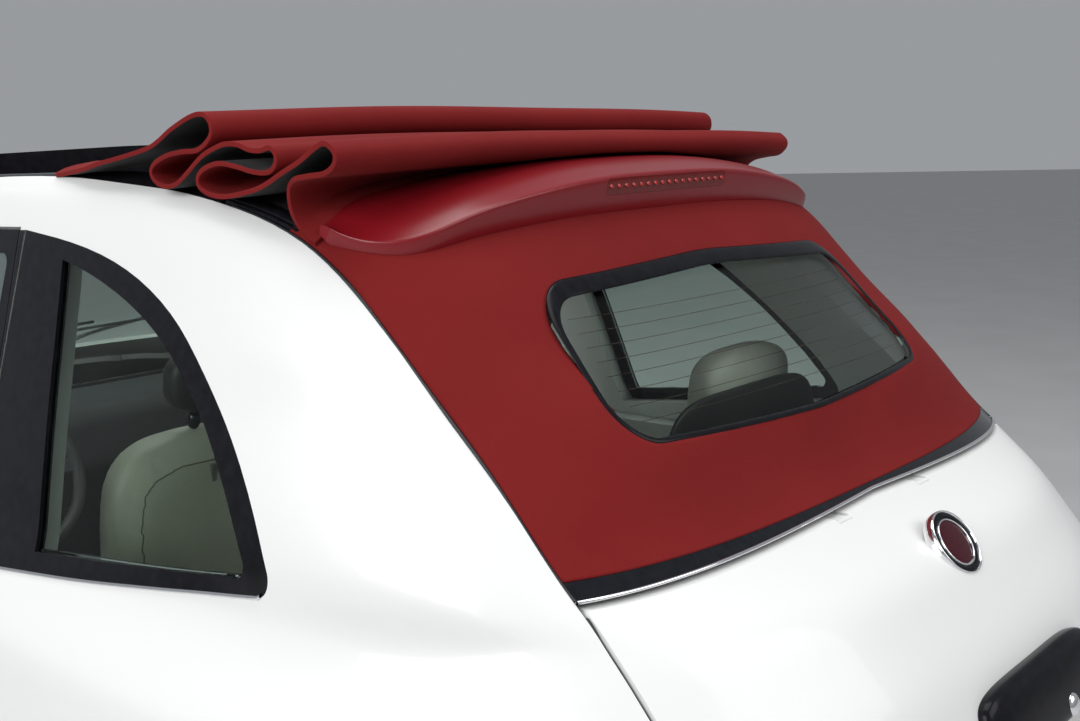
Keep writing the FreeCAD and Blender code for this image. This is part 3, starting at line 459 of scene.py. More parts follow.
def section_at(z):
    """The section values at a height: a smooth cubic between rows with no overshoot."""
    x = SECTIONS[:, 0]
    y = SECTIONS[:, 1:]
    h = np.diff(x)[:, None]
    d = np.diff(y, axis=0) / h
    same = d[:-1] * d[1:] > 0
    safe = np.where(same, d[:-1] * d[1:], 1.0)
    slope = np.vstack([d[:1], np.where(same, 2 * safe / np.where(same, d[:-1] + d[1:], 1.0), 0.0), d[-1:]])
    z = np.clip(z, x[0], x[-1])
    k = np.clip(np.searchsorted(x, z) - 1, 0, len(x) - 2)
    t = ((z - x[k]) / h[k, 0])[..., None]
    hk = h[k]
    return (y[k] * (1 + 2 * t) * (1 - t) ** 2 + y[k + 1] * t ** 2 * (3 - 2 * t)
            + hk * slope[k] * t * (1 - t) ** 2 + hk * slope[k + 1] * t ** 2 * (t - 1))


def rear_x(y, z):
    """x of the body behind its middle: |x / length| ** n + |y / half width| ** m = 1."""
    s = section_at(z)
    w = np.clip(np.abs(y) / s[..., 6], 0, 1)
    return MID_X - (MID_X - s[..., 3]) * (1 - w ** s[..., 5]) ** (1 / s[..., 4])


def side_y(x, z):
    """Half width of the body at x and height: half width * (1 - |x / length| ** n) ** (1 / m)."""
    s = section_at(z)
    ahead = x > MID_X
    long = np.where(ahead, s[..., 0] - MID_X, MID_X - s[..., 3])
    n = np.where(ahead, s[..., 1], s[..., 4])
    m = np.where(ahead, s[..., 2], s[..., 5])
    return s[..., 6] * (1 - np.clip(np.abs(x - MID_X) / long, 0, 1) ** n) ** (1 / m)


def front_x(y, z):
    """x of the body ahead of its middle, by the same law."""
    s = section_at(z)
    return MID_X + (s[..., 0] - MID_X) * (1 - (np.abs(y) / s[..., 6]) ** s[..., 2]) ** (1 / s[..., 1])


def outward_x(ang):
    """Outward directions in the x-z plane for angles up from the rear."""
    return np.stack([-np.cos(ang), np.zeros(len(ang)), np.sin(ang)], -1)


RAY_X, RAY_Z = -900.0, 950.0    # a line across the car, under the rear window, that rays start from


def ray_to(x, z):
    """Angle, up from the rear, of the ray to a point at x and z."""
    return np.arctan2(z - RAY_Z, RAY_X - x)


def rear_shell(y, ang):
    """Body surface met by rays in the x-z plane, found by halving the span where each one crosses."""
    y, ang = np.broadcast_arrays(np.asarray(y, float), np.asarray(ang, float))
    lo = np.zeros(y.shape)
    hi = np.full(y.shape, 1200.0)
    for step in range(34):
        r = 0.5 * (lo + hi)
        x = RAY_X - r * np.cos(ang)
        z = RAY_Z + r * np.sin(ang)
        s = section_at(z)
        reach = (np.abs(MID_X - x) / (MID_X - s[..., 3])) ** s[..., 4]
        reach = reach + (np.abs(y) / s[..., 6]) ** s[..., 5]
        inside = (reach < 1) & (z < 1480)
        lo = np.where(inside, r, lo)
        hi = np.where(inside, hi, r)
    return np.stack([RAY_X - lo * np.cos(ang), y, RAY_Z + lo * np.sin(ang)], -1)


def ray_angle(y, z):
    """The angle at which rear_shell meets the body at a given y and height."""
    return ray_to(rear_x(y, z), z)


# Rear canvas, stretched from the folds down to the bright strip, open for the window
WINDOW = [(-372, 1128, 45), (0, 1115, 900), (372, 1128, 45), (352, 1306, 60),
          (0, 1322, 900), (-352, 1306, 60)]
COVER_HALF = 536.5
COVER_FOOT_Z = 1016.4
CENTRE = np.array([0.0, float(ray_angle(np.array(0.0), np.array(1218.0)))])
PER_MM = 0.0022                 # turn of a ray for a millimetre up the cover, about


def cloth_wall(piece, thickness, offset):
    """Thickness of the canvas, with the dark lining as its second face."""
    wall = give_wall(piece, thickness, offset)
    wall.material_offset = 1
    wall.material_offset_rim = 0


def cast(loop):
    """A (y, z) outline as (y, angle) of the rays that meet the body there."""
    return np.stack([loop[:, 0], ray_angle(loop[:, 0], loop[:, 1])], -1)


def ring(inner, outer, steps):
    """Grid on the body between two loops round the window. For each point of the outer loop the
    inner one is met on the straight way to the window's centre, in (y, angle)."""
    q = (inner - CENTRE) / (1.0, PER_MM)
    w = (outer - CENTRE) / (1.0, PER_MM)
    phi = np.arctan2(q[:, 1], q[:, 0])
    order = np.argsort(phi)
    want = np.arctan2(w[:, 1], w[:, 0])
    r = np.interp(want, phi[order], np.hypot(q[:, 0], q[:, 1])[order], period=2 * np.pi)
    near = CENTRE + np.stack([r * np.cos(want), PER_MM * r * np.sin(want)], -1)
    t = np.linspace(0, 1, steps)[:, None, None]
    both = near * (1 - t) + outer * t
    return rear_shell(both[..., 0], both[..., 1])


cover_top = math.radians(81.0)
across = np.linspace(-COVER_HALF, COVER_HALF, 150, endpoint=False)
foot = ray_angle(across, np.full(150, COVER_FOOT_Z))
rise = np.linspace(float(foot[0]), cover_top, 90, endpoint=False)
cover_edge = np.concatenate([
    np.stack([across, foot], -1), np.stack([np.full(90, COVER_HALF), rise], -1),
    np.stack([-across, np.full(150, cover_top)], -1),
    np.stack([np.full(90, -COVER_HALF), cover_top + float(foot[0]) - rise], -1)])
window_edge = cast(rounded_loop(WINDOW, 720))
cover = snap(ring(window_edge, cover_edge, 46), "soft_top_rear")
# Outward, towards the rear, by a slow ripple of up to half a millimetre
out = grid_normals(cover)
out *= np.sign(out[..., :1] * -1 + 1e-9)
ripple = 0.5 * np.sin(cover[..., 1] / 47.0 + cover[..., 2] / 31.0) * np.sin(cover[..., 2] / 23.0)
cover = cover + out * ripple[..., None]
cover_mesh = grid_mesh("rear_canvas", np.concatenate([cover, cover[:, :1]], 1), weld=True)
rear_canvas = add("rear_canvas", cover_mesh, (canvas, lining), "car_body")
cloth_wall(rear_canvas, 0.006, -1.0)
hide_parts("soft_top_rear")


# Folded roof canvas: one sheet from its front edge, laid in folds, down to the rear canvas. These are
# x, z at its left end; the last points drop to the body
FOLDS = [
    (-373, 1466), (-430, 1470), (-495, 1475), (-558, 1483), (-625, 1491), (-693, 1501), (-725, 1511),
    (-756, 1524), (-806, 1539), (-837, 1541), (-852, 1529), (-850, 1512), (-820, 1496), (-779, 1494),
    (-742, 1490), (-708, 1480), (-696, 1467), (-708, 1454), (-733, 1448), (-761, 1452), (-789, 1466),
    (-823, 1485), (-848, 1494), (-880, 1501), (-909, 1500), (-934, 1493), (-958, 1491), (-979, 1494),
    (-990, 1485), (-987, 1472), (-971, 1464), (-941, 1465), (-905, 1472), (-867, 1477), (-834, 1472),
    (-814, 1461), (-814, 1448), (-835, 1438), (-869, 1434), (-913, 1438), (-956, 1446), (-1002, 1463),
    (-1038, 1476), (-1070, 1491), (-1089, 1496), (-1106, 1485), (-1104, 1471), (-1085, 1461),
    (-1050, 1458), (-1013, 1453), (-992, 1441), (-988, 1424), (-1002, 1405), (-1030, 1385)]
FOLD_STEPS, WIDTH_STEPS = 430, 61
path = smooth_path(FOLDS, FOLD_STEPS)
u = np.linspace(0, 1, FOLD_STEPS)[:, None]          # along the sheet
v = np.linspace(-1, 1, WIDTH_STEPS)[None, :]        # across it, from right to left
path_x, path_z = path[:, :1], path[:, 1:]
# The sheet narrows at its front edge and where it drops to the body
half = 565 - 29 * np.clip((u - 0.93) / 0.05, 0, 1) - 22 * (1 - np.clip(u / 0.10, 0, 1))
y = half * v
right_side = 0.5 * (1 - v)
bow = 1 - v * v
# The stack lies further forward and lower on the right, sags between and ripples a little
astern = np.clip((-850 - path_x) / 250, 0, 1)
drop_in = np.clip((u - 0.955) / 0.035, 0, 1)
drop_in = drop_in * drop_in * (3 - 2 * drop_in)
x = path_x + 84 * astern * right_side * (1 - drop_in) + 6 * np.sin(5.1 * v + 9 * u) * astern * bow
z = path_z + 9 * bow - 11 * right_side + 1.5 * np.sin(4.3 * v + 21 * u) * bow
z = z - 6 * bow * np.clip(1 - u / 0.12, 0, 1)

# Top of the spoiler under the folds: half width, x and z of its front edge, x and z of its rear edge
SPOILER_TOP = np.array([
    (0, -980, 1463, -1176, 1440), (150, -980, 1461, -1175, 1437), (300, -985, 1452, -1166, 1420),
    (400, -990, 1440, -1150, 1398), (470, -1000, 1425, -1120, 1376), (510, -1010, 1403, -1072, 1379),
    (528, -1020, 1397, -1042, 1393), (566, -1030, 1380, -1040, 1380)])
front_edge_x, front_edge_z, rear_edge_x, rear_edge_z = (
    np.interp(np.abs(y), SPOILER_TOP[:, 0], SPOILER_TOP[:, k]) for k in range(1, 5))
part_way = np.clip((front_edge_x - x) / (front_edge_x - rear_edge_x), 0, 1)
crown = 0.18 * (front_edge_x - rear_edge_x) * part_way * (1 - part_way)
on_spoiler = front_edge_z + (rear_edge_z - front_edge_z) * part_way + crown + 8.0
on_body = rear_shell(y, ray_to(x, z))[..., 2] + 4.0
rest_on = np.where((u > 0.60) & (x < -960), np.maximum(on_spoiler, on_body), on_body)
folds = np.stack([x, y, np.maximum(z, rest_on)], -1)
settle = rear_shell(folds[..., 1], ray_to(folds[..., 0], folds[..., 2]))
folds = folds * (1 - drop_in[..., None]) + (settle + [0, 0, 4.0]) * drop_in[..., None]
soft_top = add("folded_canvas", grid_mesh("folded_canvas", folds, flip=True), (canvas, lining),
               "car_body")
cloth_wall(soft_top, 0.0065, 0.0)
rim = soft_top.modifiers.new("edge", "BEVEL")
rim.width = 0.0022
rim.segments = 2
rim.limit_method = "ANGLE"
rim.angle_limit = math.radians(50)
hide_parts("soft_top_folds")

# Rear window: black frame, arched across and raised from the cover, and heater wires
FRAME_INNER = [(-369, 1131, 43), (0, 1118, 900), (369, 1131, 43), (348, 1290, 54), (0, 1305, 900),
               (-348, 1290, 54)]
FRAME_OUTER = [(-374, 1126, 47), (0, 1113, 900), (374, 1126, 47), (355, 1310, 62), (0, 1325, 900),
               (-355, 1310, 62)]
band = ring(cast(rounded_loop(FRAME_INNER, 720)), cast(rounded_loop(FRAME_OUTER, 480)), 12)
t = np.linspace(0, 1, 12)[:, None, None]
band = band + [-1.0, 0, 0.5] * (0.3 + 1.5 * np.sin(np.pi * t) ** 0.5)
window_frame = add("window_frame", grid_mesh("window_frame", band, wrap_v=True), gloss_black, "car_body")
give_wall(window_frame, 0.0015, -1.0)

wires = []
across = np.linspace(-325, 325, 90)
for row in np.linspace(1150, 1268, 8):
    inside = rear_shell(across, ray_angle(across, np.full(90, row))) + [9.8, 0, -3.5]
    wires.append(tube("wire", inside, 0.4, 6))
add("heater_wires", joined("heater_wires", wires), heater, "car_body")

# Black rubber in the gap between the canvas and the painted sides
seam_foot = float(ray_angle(np.array(538.0), np.array(1000.0)))
ang = np.linspace(seam_foot, math.radians(96), 150)
seam = sweep(rear_shell(np.full(150, ROOF_SEAM_Y), ang), along((0, 1, 0), 150), outward_x(ang),
             oval(1.9, 1.7, -0.6))
add("roof_beads", both_sides("roof_beads", seam), seal_black, "car_body")

# Brake lamp: a row of diodes on the lens
DIODE = [(0, 1.6), (2.4, 1.5), (3.8, 0.9), (4.4, -0.4), (0, -0.6)]
dots = []
for y_at in np.linspace(-134, 134, 17):
    on_lens = snap(np.array([[[-1178.0, y_at, 1422.0]]]), "brake_lamp")[0, 0]
    dots.append(revolve("dot", DIODE, on_lens + [0.2, 0, 0], (-0.94, 0, 0.34), 14))
add("brake_diodes", joined("brake_diodes", dots), led, "car_body")

# Badge on the boot lid: a bright ring, a black collar, a thin ring and a plain disc. Its face stands a
# little steeper than the lid
badge_at = snap(np.array([[[-1617.0, 0.0, 959.0]]]), "boot_lid")[0, 0]
upper, lower = snap(np.array([[[-1600.0, 0.0, 970.0], [-1634.0, 0.0, 946.0]]]), "boot_lid")[0]
face = np.array([lower[2] - upper[2], 0, upper[0] - lower[0]])
face = face / np.linalg.norm(face) + np.array([-0.42, 0, -0.10])
face /= np.linalg.norm(face)
HOOP_SIDES = 24


def hoop(radius, half_w, half_h, height):
    """Profile of a ring: an ellipse of the given half sizes at a radius and height."""
    w = np.linspace(0, 2 * np.pi, HOOP_SIDES)
    return np.stack([radius + half_w * np.cos(w), height + half_h * np.sin(w)], -1)


rings = [revolve("o", hoop(43.4, 2.6, 9.0, 1.0), badge_at, face, 80),
         revolve("i", hoop(32.0, 1.3, 1.6, 7.4), badge_at, face, 72)]
add("badge_rings", joined("badge_rings", rings), chrome, "boot_lid")
collar = [(31.0, 2.0), (32.0, 7.6), (37.0, 8.4), (42.0, 8.2), (43.0, 2.0), (43.0, -6.0), (31.0, -6.0),
          (31.0, 2.0)]
add("badge_collar", revolve("badge_collar", collar, badge_at, face, 72), gloss_black, "boot_lid")
disc = [(0, 8.6), (12, 8.4), (22, 7.9), (29, 7.2), (31.5, 6.4), (31.5, -4.0), (0, -4.0)]
add("badge_disc", revolve("badge_disc", disc, badge_at, face, 64), burgundy, "boot_lid")

# Dark lining under the folds, and the rails' ends beside it
well_y = np.linspace(-537, 537, 60)[None, :] + np.zeros((24, 1))
well_ang = np.radians(np.linspace(78.0, 99.0, 24))[:, None] + np.zeros((1, 60))
well = rear_shell(well_y, well_ang) - [0, 0, 9.0]
roof_well = add("roof_well", grid_mesh("roof_well", well, flip=True), lining, "car_body")
give_wall(roof_well, 0.003, -1.0)
ang = np.radians(np.linspace(79.5, 98.5, 40))
RAIL_ENDS = ((517.0, 14.0, 6.0), (532.0, 3.0, 7.5))     # y, half width and half height of each bar
rails = [sweep(rear_shell(np.full(40, y_at), ang), along((0, 1, 0), 40), outward_x(ang),
               oval(half_w, half_h, -6.0, 14)) for y_at, half_w, half_h in RAIL_ENDS]
add("rail_ends", both_sides("rail_ends", *rails), gloss_black, "car_body")

# Bright bead along the foot of the strip
edge_y = np.linspace(-539, 539, 160)
edge_z = 998.0 + 12.5 * (1 - np.abs(edge_y) / 539.0)
bead_out = along((-0.75, 0.0, 0.66), 160)
bead_line = rear_shell(edge_y, ray_angle(edge_y, edge_z)) + 0.6 * bead_out
bead = sweep(bead_line, along((0.66, 0.0, 0.75), 160), bead_out, oval(2.4, 2.4))
add("strip_bead", grid_mesh("strip_bead", bead, wrap_v=True, weld=True), chrome, "car_body")

# Thin bright line along the foot of the rear side windows and the doors' belt: x, z
QUARTER_BELT = [(-1075, 972), (-1062, 967), (-960, 953), (-854, 938), (-672, 914), (-467, 893),
                (-337, 881.5)]
DOOR_BELT = [(-327, 881), (0, 878.0), (340, 875.0), (682, 872.5)]


def belt(points, count):
    """Half-round strip along an (x, z) line on the side of the body."""
    x, z = smooth_path(points, count).T
    return sweep(np.stack([x, side_y(x, z), z], -1), along(SKIN_UP, count), along(SKIN_OUT, count),
                 oval(3.0, 2.2, 1.0))


add("quarter_belt", both_sides("quarter_belt", belt(QUARTER_BELT, 90)), chrome, "car_body")
door_line = belt(DOOR_BELT, 120)
add("door_belt_left", grid_mesh("door_belt_left", door_line, wrap_v=True, weld=True), chrome,
    "door_left")
add("door_belt_right", grid_mesh("door_belt_right", mirror_y(door_line), wrap_v=True, weld=True), chrome,
    "door_right")


# Seats: padded pieces that swell under a little pressure inside their covers
def pad_form(centre, half, lean=0.0, round_up=0.45, round_plan=0.35, waist=0.0, rows=60, cols=120):
    """Closed cushion: a box with all its edges rounded, each coordinate half * sign * |cos or sin|
    to a small power; lean turns it about Y, waist pulls the sides in between the corners."""
    th = np.linspace(-np.pi / 2, np.pi / 2, rows)[:, None]
    ph = np.linspace(-np.pi, np.pi, cols, endpoint=False)[None, :]
    x = spread(np.cos(th), round_up) * spread(np.cos(ph), round_plan)
    y = spread(np.cos(th), round_up) * spread(np.sin(ph), round_plan)
    z = spread(np.sin(th), round_up) + 0 * ph
    pull = 1 - waist * (1 - z * z)
    x, y, z = x * half[0], y * half[1] * pull, z * half[2]
    c, s = math.cos(lean), math.sin(lean)
    return np.stack([x * c + z * s, y, -x * s + z * c], -1) + np.asarray(centre, float)


def on_back(d, y, off=0.0):
    """Point on the leaning middle plane of a front seat back, d above its foot."""
    c, s = math.cos(BACK_LEAN), math.sin(BACK_LEAN)
    return (-400 - 10 * c + d * s + off * c, y, 480 + d * c - off * s)


# centre and half sizes; lean; rounding up and in plan; waist; even mesh step and most swelling
Pad = namedtuple("Pad", "name centre half lean round_up round_plan waist step swell finish node")
PADS = []
for tag, y in (("left", SEAT_Y), ("right", -SEAT_Y)):
    PADS += [
        Pad("seat_cushion_" + tag, (-65, y, 384), (252, 232, 72), 0.0, 0.5, 0.32, 0.0, 8, 12,
            leather, "seat_cushions"),
        Pad("seat_back_" + tag, on_back(294, y), (47, 244, 288), BACK_LEAN, 0.42, 0.5, 0.03, 8, 12,
            leather, "seat_backs"),
        # Front head rests: the dark leather here is painted shade over their ivory cover
        Pad("seat_head_" + tag, on_back(652, y), (32, 112, 54), BACK_LEAN, 0.6, 0.6, 0.0, 5, 8,
            black_leather_and_shade, "seat_backs"),
        Pad("rear_head_" + tag, (-1066, math.copysign(REAR_HEAD_Y, y), 1046), (40, 128, 76),
            math.radians(-6), 0.6, 0.6, 0.0, 5, 9, leather, "rear_seat"),
    ]
PADS += [
    Pad("rear_cushion", (-805, 0, 498), (192, 506, 48), 0.0, 0.55, 0.25, 0.0, 9, 12,
        leather, "rear_seat"),
    Pad("rear_backrest", (-1065, 0, 686), (42, 506, 234), 0.0, 0.3, 0.5, 0.0, 9, 12,
        leather, "rear_seat"),
]
COVER_PRESSURE, COVER_FRAMES = 4.0, 20


def even_mesh(pad):
    """The cushion's form remeshed in even steps."""
    form = pad_form(pad.centre, pad.half, pad.lean, pad.round_up, pad.round_plan, pad.waist)
    me = grid_mesh(pad.name, form, wrap_v=True, weld=True)
    ob = bpy.data.objects.new(pad.name, me)
    bpy.context.scene.collection.objects.link(ob)
    even = ob.modifiers.new("even", "REMESH")
    even.mode = "VOXEL"
    even.voxel_size = pad.step * MM
    dg = bpy.context.evaluated_depsgraph_get()
    fine = bpy.data.meshes.new_from_object(ob.evaluated_get(dg))
    ob.modifiers.clear()
    ob.data = fine
    bpy.data.meshes.remove(me)
    return ob


def points_of(me):
    """All the mesh's points, one after another."""
    co = np.empty(len(me.vertices) * 3)
    me.vertices.foreach_get("co", co)
    return co


def inflate(pads):
    """Swell all the cushions as cloth under a little pressure, and cap how far a point moves."""
    scene = bpy.context.scene
    soft = [even_mesh(pad) for pad in pads]
    for ob in soft:
        cloth = ob.modifiers.new("cloth", "CLOTH")
        cloth.settings.quality = 3
        cloth.settings.use_pressure = True
        cloth.settings.uniform_pressure_force = COVER_PRESSURE
        cloth.settings.effector_weights.gravity = 0.0
        cloth.collision_settings.use_collision = False
        cloth.point_cache.frame_start = 1
        cloth.point_cache.frame_end = COVER_FRAMES
    for f in range(1, COVER_FRAMES + 1):
        scene.frame_set(f)
    pieces = {}
    for ob, pad in zip(soft, pads):
        start = points_of(ob.data)
        moved = start
        dg = bpy.context.evaluated_depsgraph_get()
        swollen = bpy.data.meshes.new_from_object(ob.evaluated_get(dg))
        moved = points_of(swollen)
        bpy.data.meshes.remove(swollen)
        ob.modifiers.clear()
        way = (moved - start).reshape(-1, 3)
        far = np.linalg.norm(way, axis=1, keepdims=True)
        way *= np.minimum(1.0, pad.swell * MM / np.maximum(far, 1e-9))
        ob.data.vertices.foreach_set("co", (start.reshape(-1, 3) + way).ravel())
        ob.data.polygons.foreach_set("use_smooth", np.ones(len(ob.data.polygons), bool))
        ob.data.update()
        ob.data.materials.append(pad.finish)
        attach(ob, "car_body")
        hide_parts(pad.node)
        pieces[pad.name] = ob
    scene.frame_set(1)
    return pieces


cushions = inflate(PADS)

# Seams of the seats: a thread laid on the swollen covers. The arch is height up the back and y
BACK_ARCH = [(60, -214), (250, -210), (450, -204), (518, -180), (540, -120), (545, 0), (540, 120),
             (518, 180), (450, 204), (250, 210), (60, 214)]
THREAD_RADIUS = 1.3
seams = []


def seam_on(piece, points, count):
    """Add a thread along the points, laid on the surface of a cushion."""
    line = snap(smooth_path(points, count)[None], cushions[piece])[0]
    seams.append(tube("seam", line, THREAD_RADIUS, 6))


for tag, y in (("left", SEAT_Y), ("right", -SEAT_Y)):
    for off in (-90.0, 90.0):
        seam_on("seat_back_" + tag, [on_back(d, y + w, off) for d, w in BACK_ARCH], 160)
    for side in (-1, 1):
        seam_on("seat_cushion_" + tag, [(180, y + side * 150, 520), (60, y + side * 158, 520),
                                        (-120, y + side * 162, 520), (-300, y + side * 158, 520)], 90)
for y in (-180.0, 180.0):
    seam_on("rear_backrest", [(-960, y, 640), (-960, y, 760), (-960, y, 900)], 60)
add("seat_seams", joined("seat_seams", seams), thread, "car_body")

# Posts and collars of the head rests
POST_RADIUS, COLLAR_RADIUS, POST_Y = 5.5, 12, 62
posts = []
for y in (SEAT_Y, -SEAT_Y):
    for w in (-POST_Y, POST_Y):
        posts.append(tube("post", np.linspace(on_back(566, y + w), on_back(628, y + w), 8), POST_RADIUS, 12))
        posts.append(tube("collar", np.linspace(on_back(582, y + w), on_back(591, y + w), 4),
                          COLLAR_RADIUS, 16))
        rear_y = math.copysign(REAR_HEAD_Y, y) + w
        posts.append(tube("post", np.linspace((-1064, rear_y, 905.0), (-1066, rear_y, 985.0), 8),
                          POST_RADIUS, 12))
add("head_posts", joined("head_posts", posts), dark_chrome, "car_body")

# Black shells on the back of the rear seat
SHELL_LEAN = math.radians(-3)
shells = [grid_mesh("shell", pad_form((-1112, y, 770), (9, 232, 300), SHELL_LEAN, 0.35, 0.5, 0.0, 30, 80),
                    wrap_v=True, weld=True) for y in (262.0, -262.0)]
add("rear_seat_shells", joined("rear_seat_shells", shells), black_leather_and_shade, "car_body")

# Tyres: width and radius of the casing, from inside to outside
CASING = [(62, 195), (72, 196), (84, 201), (91, 218), (92.4, 238), (90.5, 260), (84, 279), (74, 288.5),
          (60, 291.2), (40, 291.8), (0, 291.85), (-40, 291.8), (-60, 291.2), (-74, 288.5), (-84, 279),
          (-90.5, 260), (-92.4, 238), (-91, 218), (-84, 201), (-72, 196), (-62, 195)]
TREAD_DEPTH = 6.5


def tyre_grid(y_mid):
    """Radius over the width and round the wheel: a smooth casing, less four grooves round it,
    less cross cuts near the shoulders; the walls carry fine rings."""
    casing = smooth_path(CASING, 150)
    w, r = casing[None, :, 0], casing[None, :, 1]
    ang = np.linspace(0, 2 * np.pi, 288, endpoint=False)[:, None]
    tread = np.clip((r - 286) / 3.0, 0, 1)
    grooves = sum(np.exp(-((w - g) / 3.2) ** 4) for g in (-50, -18, 18, 50))
    near_shoulder = np.clip((np.abs(w) - 26) / 4, 0, 1)
    cuts = np.clip(np.sin(64 * ang + 0.05 * np.abs(w)) * 3 - 1.9, 0, 1) * near_shoulder
    on_wall = np.clip((r - 208) / 6, 0, 1) * np.clip((268 - r) / 6, 0, 1)
    rings = 0.5 * np.sin((r - 205) / 2.2) * on_wall
    radius = r - tread * np.clip(TREAD_DEPTH * grooves + 5.0 * cuts, 0, TREAD_DEPTH)
    wide = w + np.sign(w) * np.minimum(rings, 0.0) * (np.abs(w) > 80)
    return np.stack([radius * np.cos(ang), y_mid + wide + 0 * ang, radius * np.sin(ang)], -1)


for tag, axle_x, y_mid in (("fl", FRONT_AXLE_X, FRONT_TRACK_HALF), ("fr", FRONT_AXLE_X, -FRONT_TRACK_HALF),
                           ("rl", REAR_AXLE_X, REAR_TRACK_HALF), ("rr", REAR_AXLE_X, -REAR_TRACK_HALF)):
    casing_at = tyre_grid(y_mid) + [axle_x, 0, TYRE_RADIUS]
    tyre = add("tyre_cover_" + tag, grid_mesh("tyre_" + tag, casing_at, wrap_u=True, wrap_v=True, weld=True),
               rubber, "wheel_" + tag)
    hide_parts("tyre_" + tag)


# Black cover on the pillar behind each door, and the rubber in the gap before it
def swing_x(y, radius):
    """x on a circle of the door's swing: hinge x - sqrt(radius ** 2 - (hinge y - y) ** 2)."""
    return DOOR_HINGE[0] - np.sqrt(radius ** 2 - (DOOR_HINGE[1] - y) ** 2)


PILLAR_REAR_X, PILLAR_MIN_X = -331.5, -331.0
pillar_z = np.linspace(881, 1383, 90)[:, None]
skin_y = side_y(np.full((90, 1), -325.0), pillar_z)
pillar_front = np.maximum(swing_x(skin_y, SWING_GAP[1] - 0.1), PILLAR_MIN_X)
pillar_x = PILLAR_REAR_X + (pillar_front - PILLAR_REAR_X) * np.linspace(0, 1, 6)[None, :]
cover = np.stack([pillar_x, side_y(pillar_x, pillar_z) + 0.6, pillar_z + 0 * pillar_x], -1)
pillar = add("pillar_covers", both_sides("pillar_covers", cover, weld=False), gloss_black, "car_body")
give_wall(pillar, 0.0008, 0.0)
sunk_y = skin_y[:, 0] - 4.5
gap_line = np.stack([swing_x(sunk_y, sum(SWING_GAP) / 2), sunk_y, pillar_z[:, 0]], -1)
strip = sweep(gap_line, along((1, 0, 0), 90), along(SKIN_OUT, 90), oval(2.35, 2.5))
add("door_gap_rubbers", both_sides("door_gap_rubbers", strip), seal_black, "car_body")

# Rubber down the sides of the boot lid, sunk in its gap
gap_z = np.linspace(575, 985, 120)
gap_y = np.full(120, LID_SEAM_Y)
lid_rubber = sweep(np.stack([rear_x(gap_y, gap_z), gap_y, gap_z], -1), along((0, 1, 0), 120),
                   along((0.94, 0.0, -0.34), 120), oval(1.9, 2.5, 6.0))
add("lid_gap_rubbers", both_sides("lid_gap_rubbers", lid_rubber), seal_black, "car_body")


# Boot handle: a rounded black moulding over the pull, with a bright button in it
def lid_raised(y, z, height):
    """Points a height above the lid, along its outward direction there."""
    step = 1.0
    x = rear_x(y, z)
    dx_y = (rear_x(y + step, z) - rear_x(y - step, z)) / (2 * step)
    dx_z = (rear_x(y, z + step) - rear_x(y, z - step)) / (2 * step)
    n = np.stack([-np.ones_like(x), dx_y, dx_z], -1)
    n /= np.linalg.norm(n, axis=-1, keepdims=True)
    return np.stack([x, y, z], -1) + n * height[..., None]


HANDLE_HALF_Y, HANDLE_HALF_Z, HANDLE_Z = 162, 45, 780
HANDLE_SQUARE = 0.455           # how square its ends are: 1 an ellipse, 0 a box
out_way = 1 - (1 - np.linspace(0, 1, 40)[:, None]) ** 2
ang = np.linspace(0, 2 * np.pi, 120, endpoint=False)[None, :]
handle_y = HANDLE_HALF_Y * spread(np.cos(ang), HANDLE_SQUARE) * out_way
handle_z = HANDLE_Z + HANDLE_HALF_Z * spread(np.sin(ang), HANDLE_SQUARE) * out_way
height = 20 * (1 - out_way ** 10) ** 0.3 - 1.5 + 0 * ang
add("handle_cover", grid_mesh("handle_cover", lid_raised(handle_y, handle_z, height), wrap_v=True, weld=True),
    gloss_black, "boot_lid")
button_at = lid_raised(np.array([-45.0]), np.array([752.0]), np.array([17.5]))[0]
button = [(0, 6.0), (8, 5.2), (13, 3.0), (15, 0), (15, -5), (0, -5)]
add("handle_button", revolve("handle_button", button, button_at, (-0.97, 0, 0.2), 40), chrome, "boot_lid")


# Side door handles
def door_handle(side):
    """Bar along the door: its middle line rises from the skin as a flat arch, its section is a
    rounded strap, and its ends close to a point inside the door."""
    s = np.linspace(-1, 1, 60)
    x, z = -190 + 78 * s, 792 - 3.0 * s
    lift = 24 * (1 - np.abs(s) ** 4)
    line = np.stack([x, side_y(x, z) + lift - 1.0, z], -1)
    w = np.linspace(0, 2 * np.pi, 20, endpoint=False)
    strap = np.stack([10 * spread(np.cos(w), 0.7), 4.5 * spread(np.sin(w), 0.8)], -1)
    bar = sweep(line, along((0.0, -0.25, 0.97), 60), along((0.0, 0.97, 0.25), 60), strap)
    first, last = (np.broadcast_to(bar[k].mean(0), bar[k][None].shape) for k in (0, -1))
    return grid_mesh("handle", np.concatenate([first, bar, last]) * [1, side, 1], wrap_v=True, weld=True)


add("door_handle_left", door_handle(1), chrome, "door_left")
add("door_handle_right", door_handle(-1), chrome, "door_right")


# Wipers
def wiper(y_foot, y_tip):
    """A blade that lies along the foot of the windscreen, and an arm to its middle from the cowl."""
    y, z = np.linspace(y_tip - 190, y_tip + 200, 60), np.linspace(1060, 1040, 60)
    blade = np.stack([front_x(y, z) + 6.0, y, z + 4.0], -1)
    foot, middle = np.array([938.0, y_foot, 998.0]), blade[30]
    arm = smooth_path([foot, foot * 0.6 + middle * 0.4 + [6, 0, 8], middle + [3, 0, 3]], 40)
    return [tube("blade", blade, 4.0, 10), tube("arm", arm, 5.0, 10)]


add("wipers", joined("wipers", wiper(330, 60) + wiper(-60, -290)), gloss_black, "car_body")

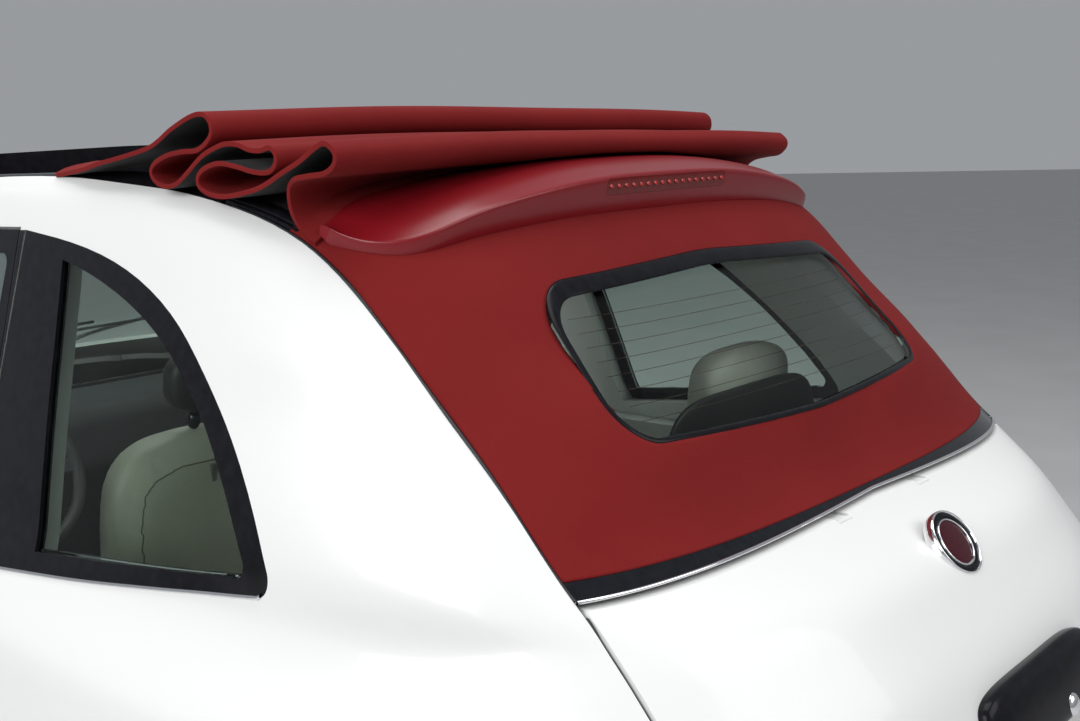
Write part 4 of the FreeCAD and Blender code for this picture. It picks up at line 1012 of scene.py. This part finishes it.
# Blank number plate on the boot lid
plate_y = np.linspace(-254, 254, 40)[None, :] + np.zeros((16, 1))
plate_z = np.linspace(618, 726, 16)[:, None] + np.zeros((1, 40))
plate = np.stack([rear_x(plate_y, plate_z) + 7.0, plate_y, plate_z], -1)
rear_plate = add("rear_plate", grid_mesh("rear_plate", plate), plate_white, "boot_lid")
give_wall(rear_plate, 0.0016, 0.0)

# Camera, at the place and turn worked out for the photo; the focal length is in pixels of its width
PHOTO_WIDTH, SENSOR_WIDTH = 1080.0, 36.0
CAM = (-2.281615, 1.490223, 1.485297)
YAW, PITCH, ROLL, FOCAL = -0.822123, 0.172118, -0.040388, 1244.476
fwd = Vector((math.cos(YAW) * math.cos(PITCH), math.sin(YAW) * math.cos(PITCH), -math.sin(PITCH)))
right = Vector((math.sin(YAW), -math.cos(YAW), 0.0))
up = right.cross(fwd)
cam_x = math.cos(ROLL) * right + math.sin(ROLL) * up
cam_y = -math.sin(ROLL) * right + math.cos(ROLL) * up
cam_data = bpy.data.cameras.new("camera")
cam_data.sensor_fit = "HORIZONTAL"
cam_data.sensor_width = SENSOR_WIDTH
cam_data.lens = FOCAL * SENSOR_WIDTH / PHOTO_WIDTH
cam = bpy.data.objects.new("camera", cam_data)
cam.matrix_world = Matrix((
    (cam_x.x, cam_y.x, -fwd.x, CAM[0]), (cam_x.y, cam_y.y, -fwd.y, CAM[1]),
    (cam_x.z, cam_y.z, -fwd.z, CAM[2]), (0, 0, 0, 1)))
bpy.context.scene.collection.objects.link(cam)
bpy.context.scene.camera = cam

# Studio
floor_mesh = bpy.data.meshes.new("studio_floor")
floor_mesh.from_pydata([(-40, -40, 0), (40, -40, 0), (40, 40, 0), (-40, 40, 0)], [], [(0, 1, 2, 3)])
floor = bpy.data.objects.new("studio_floor", floor_mesh)
bpy.context.scene.collection.objects.link(floor)
floor_mesh.materials.append(plain("floor_grey", (0.48, 0.48, 0.48), (0.52, 0.52, 0.52), (0.7, 0.8), 2.0))


def area_light(name, at, look, size, power):
    """Soft rectangular light aimed at a point."""
    d = bpy.data.lights.new(name, "AREA")
    d.shape = "RECTANGLE"
    d.size, d.size_y = size
    d.energy = power
    ob = bpy.data.objects.new(name, d)
    ob.location = at
    ob.rotation_euler = (Vector(look) - Vector(at)).to_track_quat("-Z", "Y").to_euler()
    bpy.context.scene.collection.objects.link(ob)


area_light("key", (-1.2, 5.6, 3.4), (-0.6, 0, 0.9), (5.0, 3.0), 270)
area_light("top", (0.0, 0.0, 5.5), (0, 0, 0), (6.0, 3.0), 190)
area_light("back", (-5.5, -1.0, 4.0), (-1.0, 0, 0.9), (4.0, 3.0), 110)
world = bpy.data.worlds.new("studio")
world.use_nodes = True
bg = world.node_tree.nodes["Background"]
bg.inputs["Color"].default_value = (0.75, 0.78, 0.82, 1)
bg.inputs["Strength"].default_value = 0.42
bpy.context.scene.world = world
bpy.context.scene.view_settings.view_transform = "Standard"
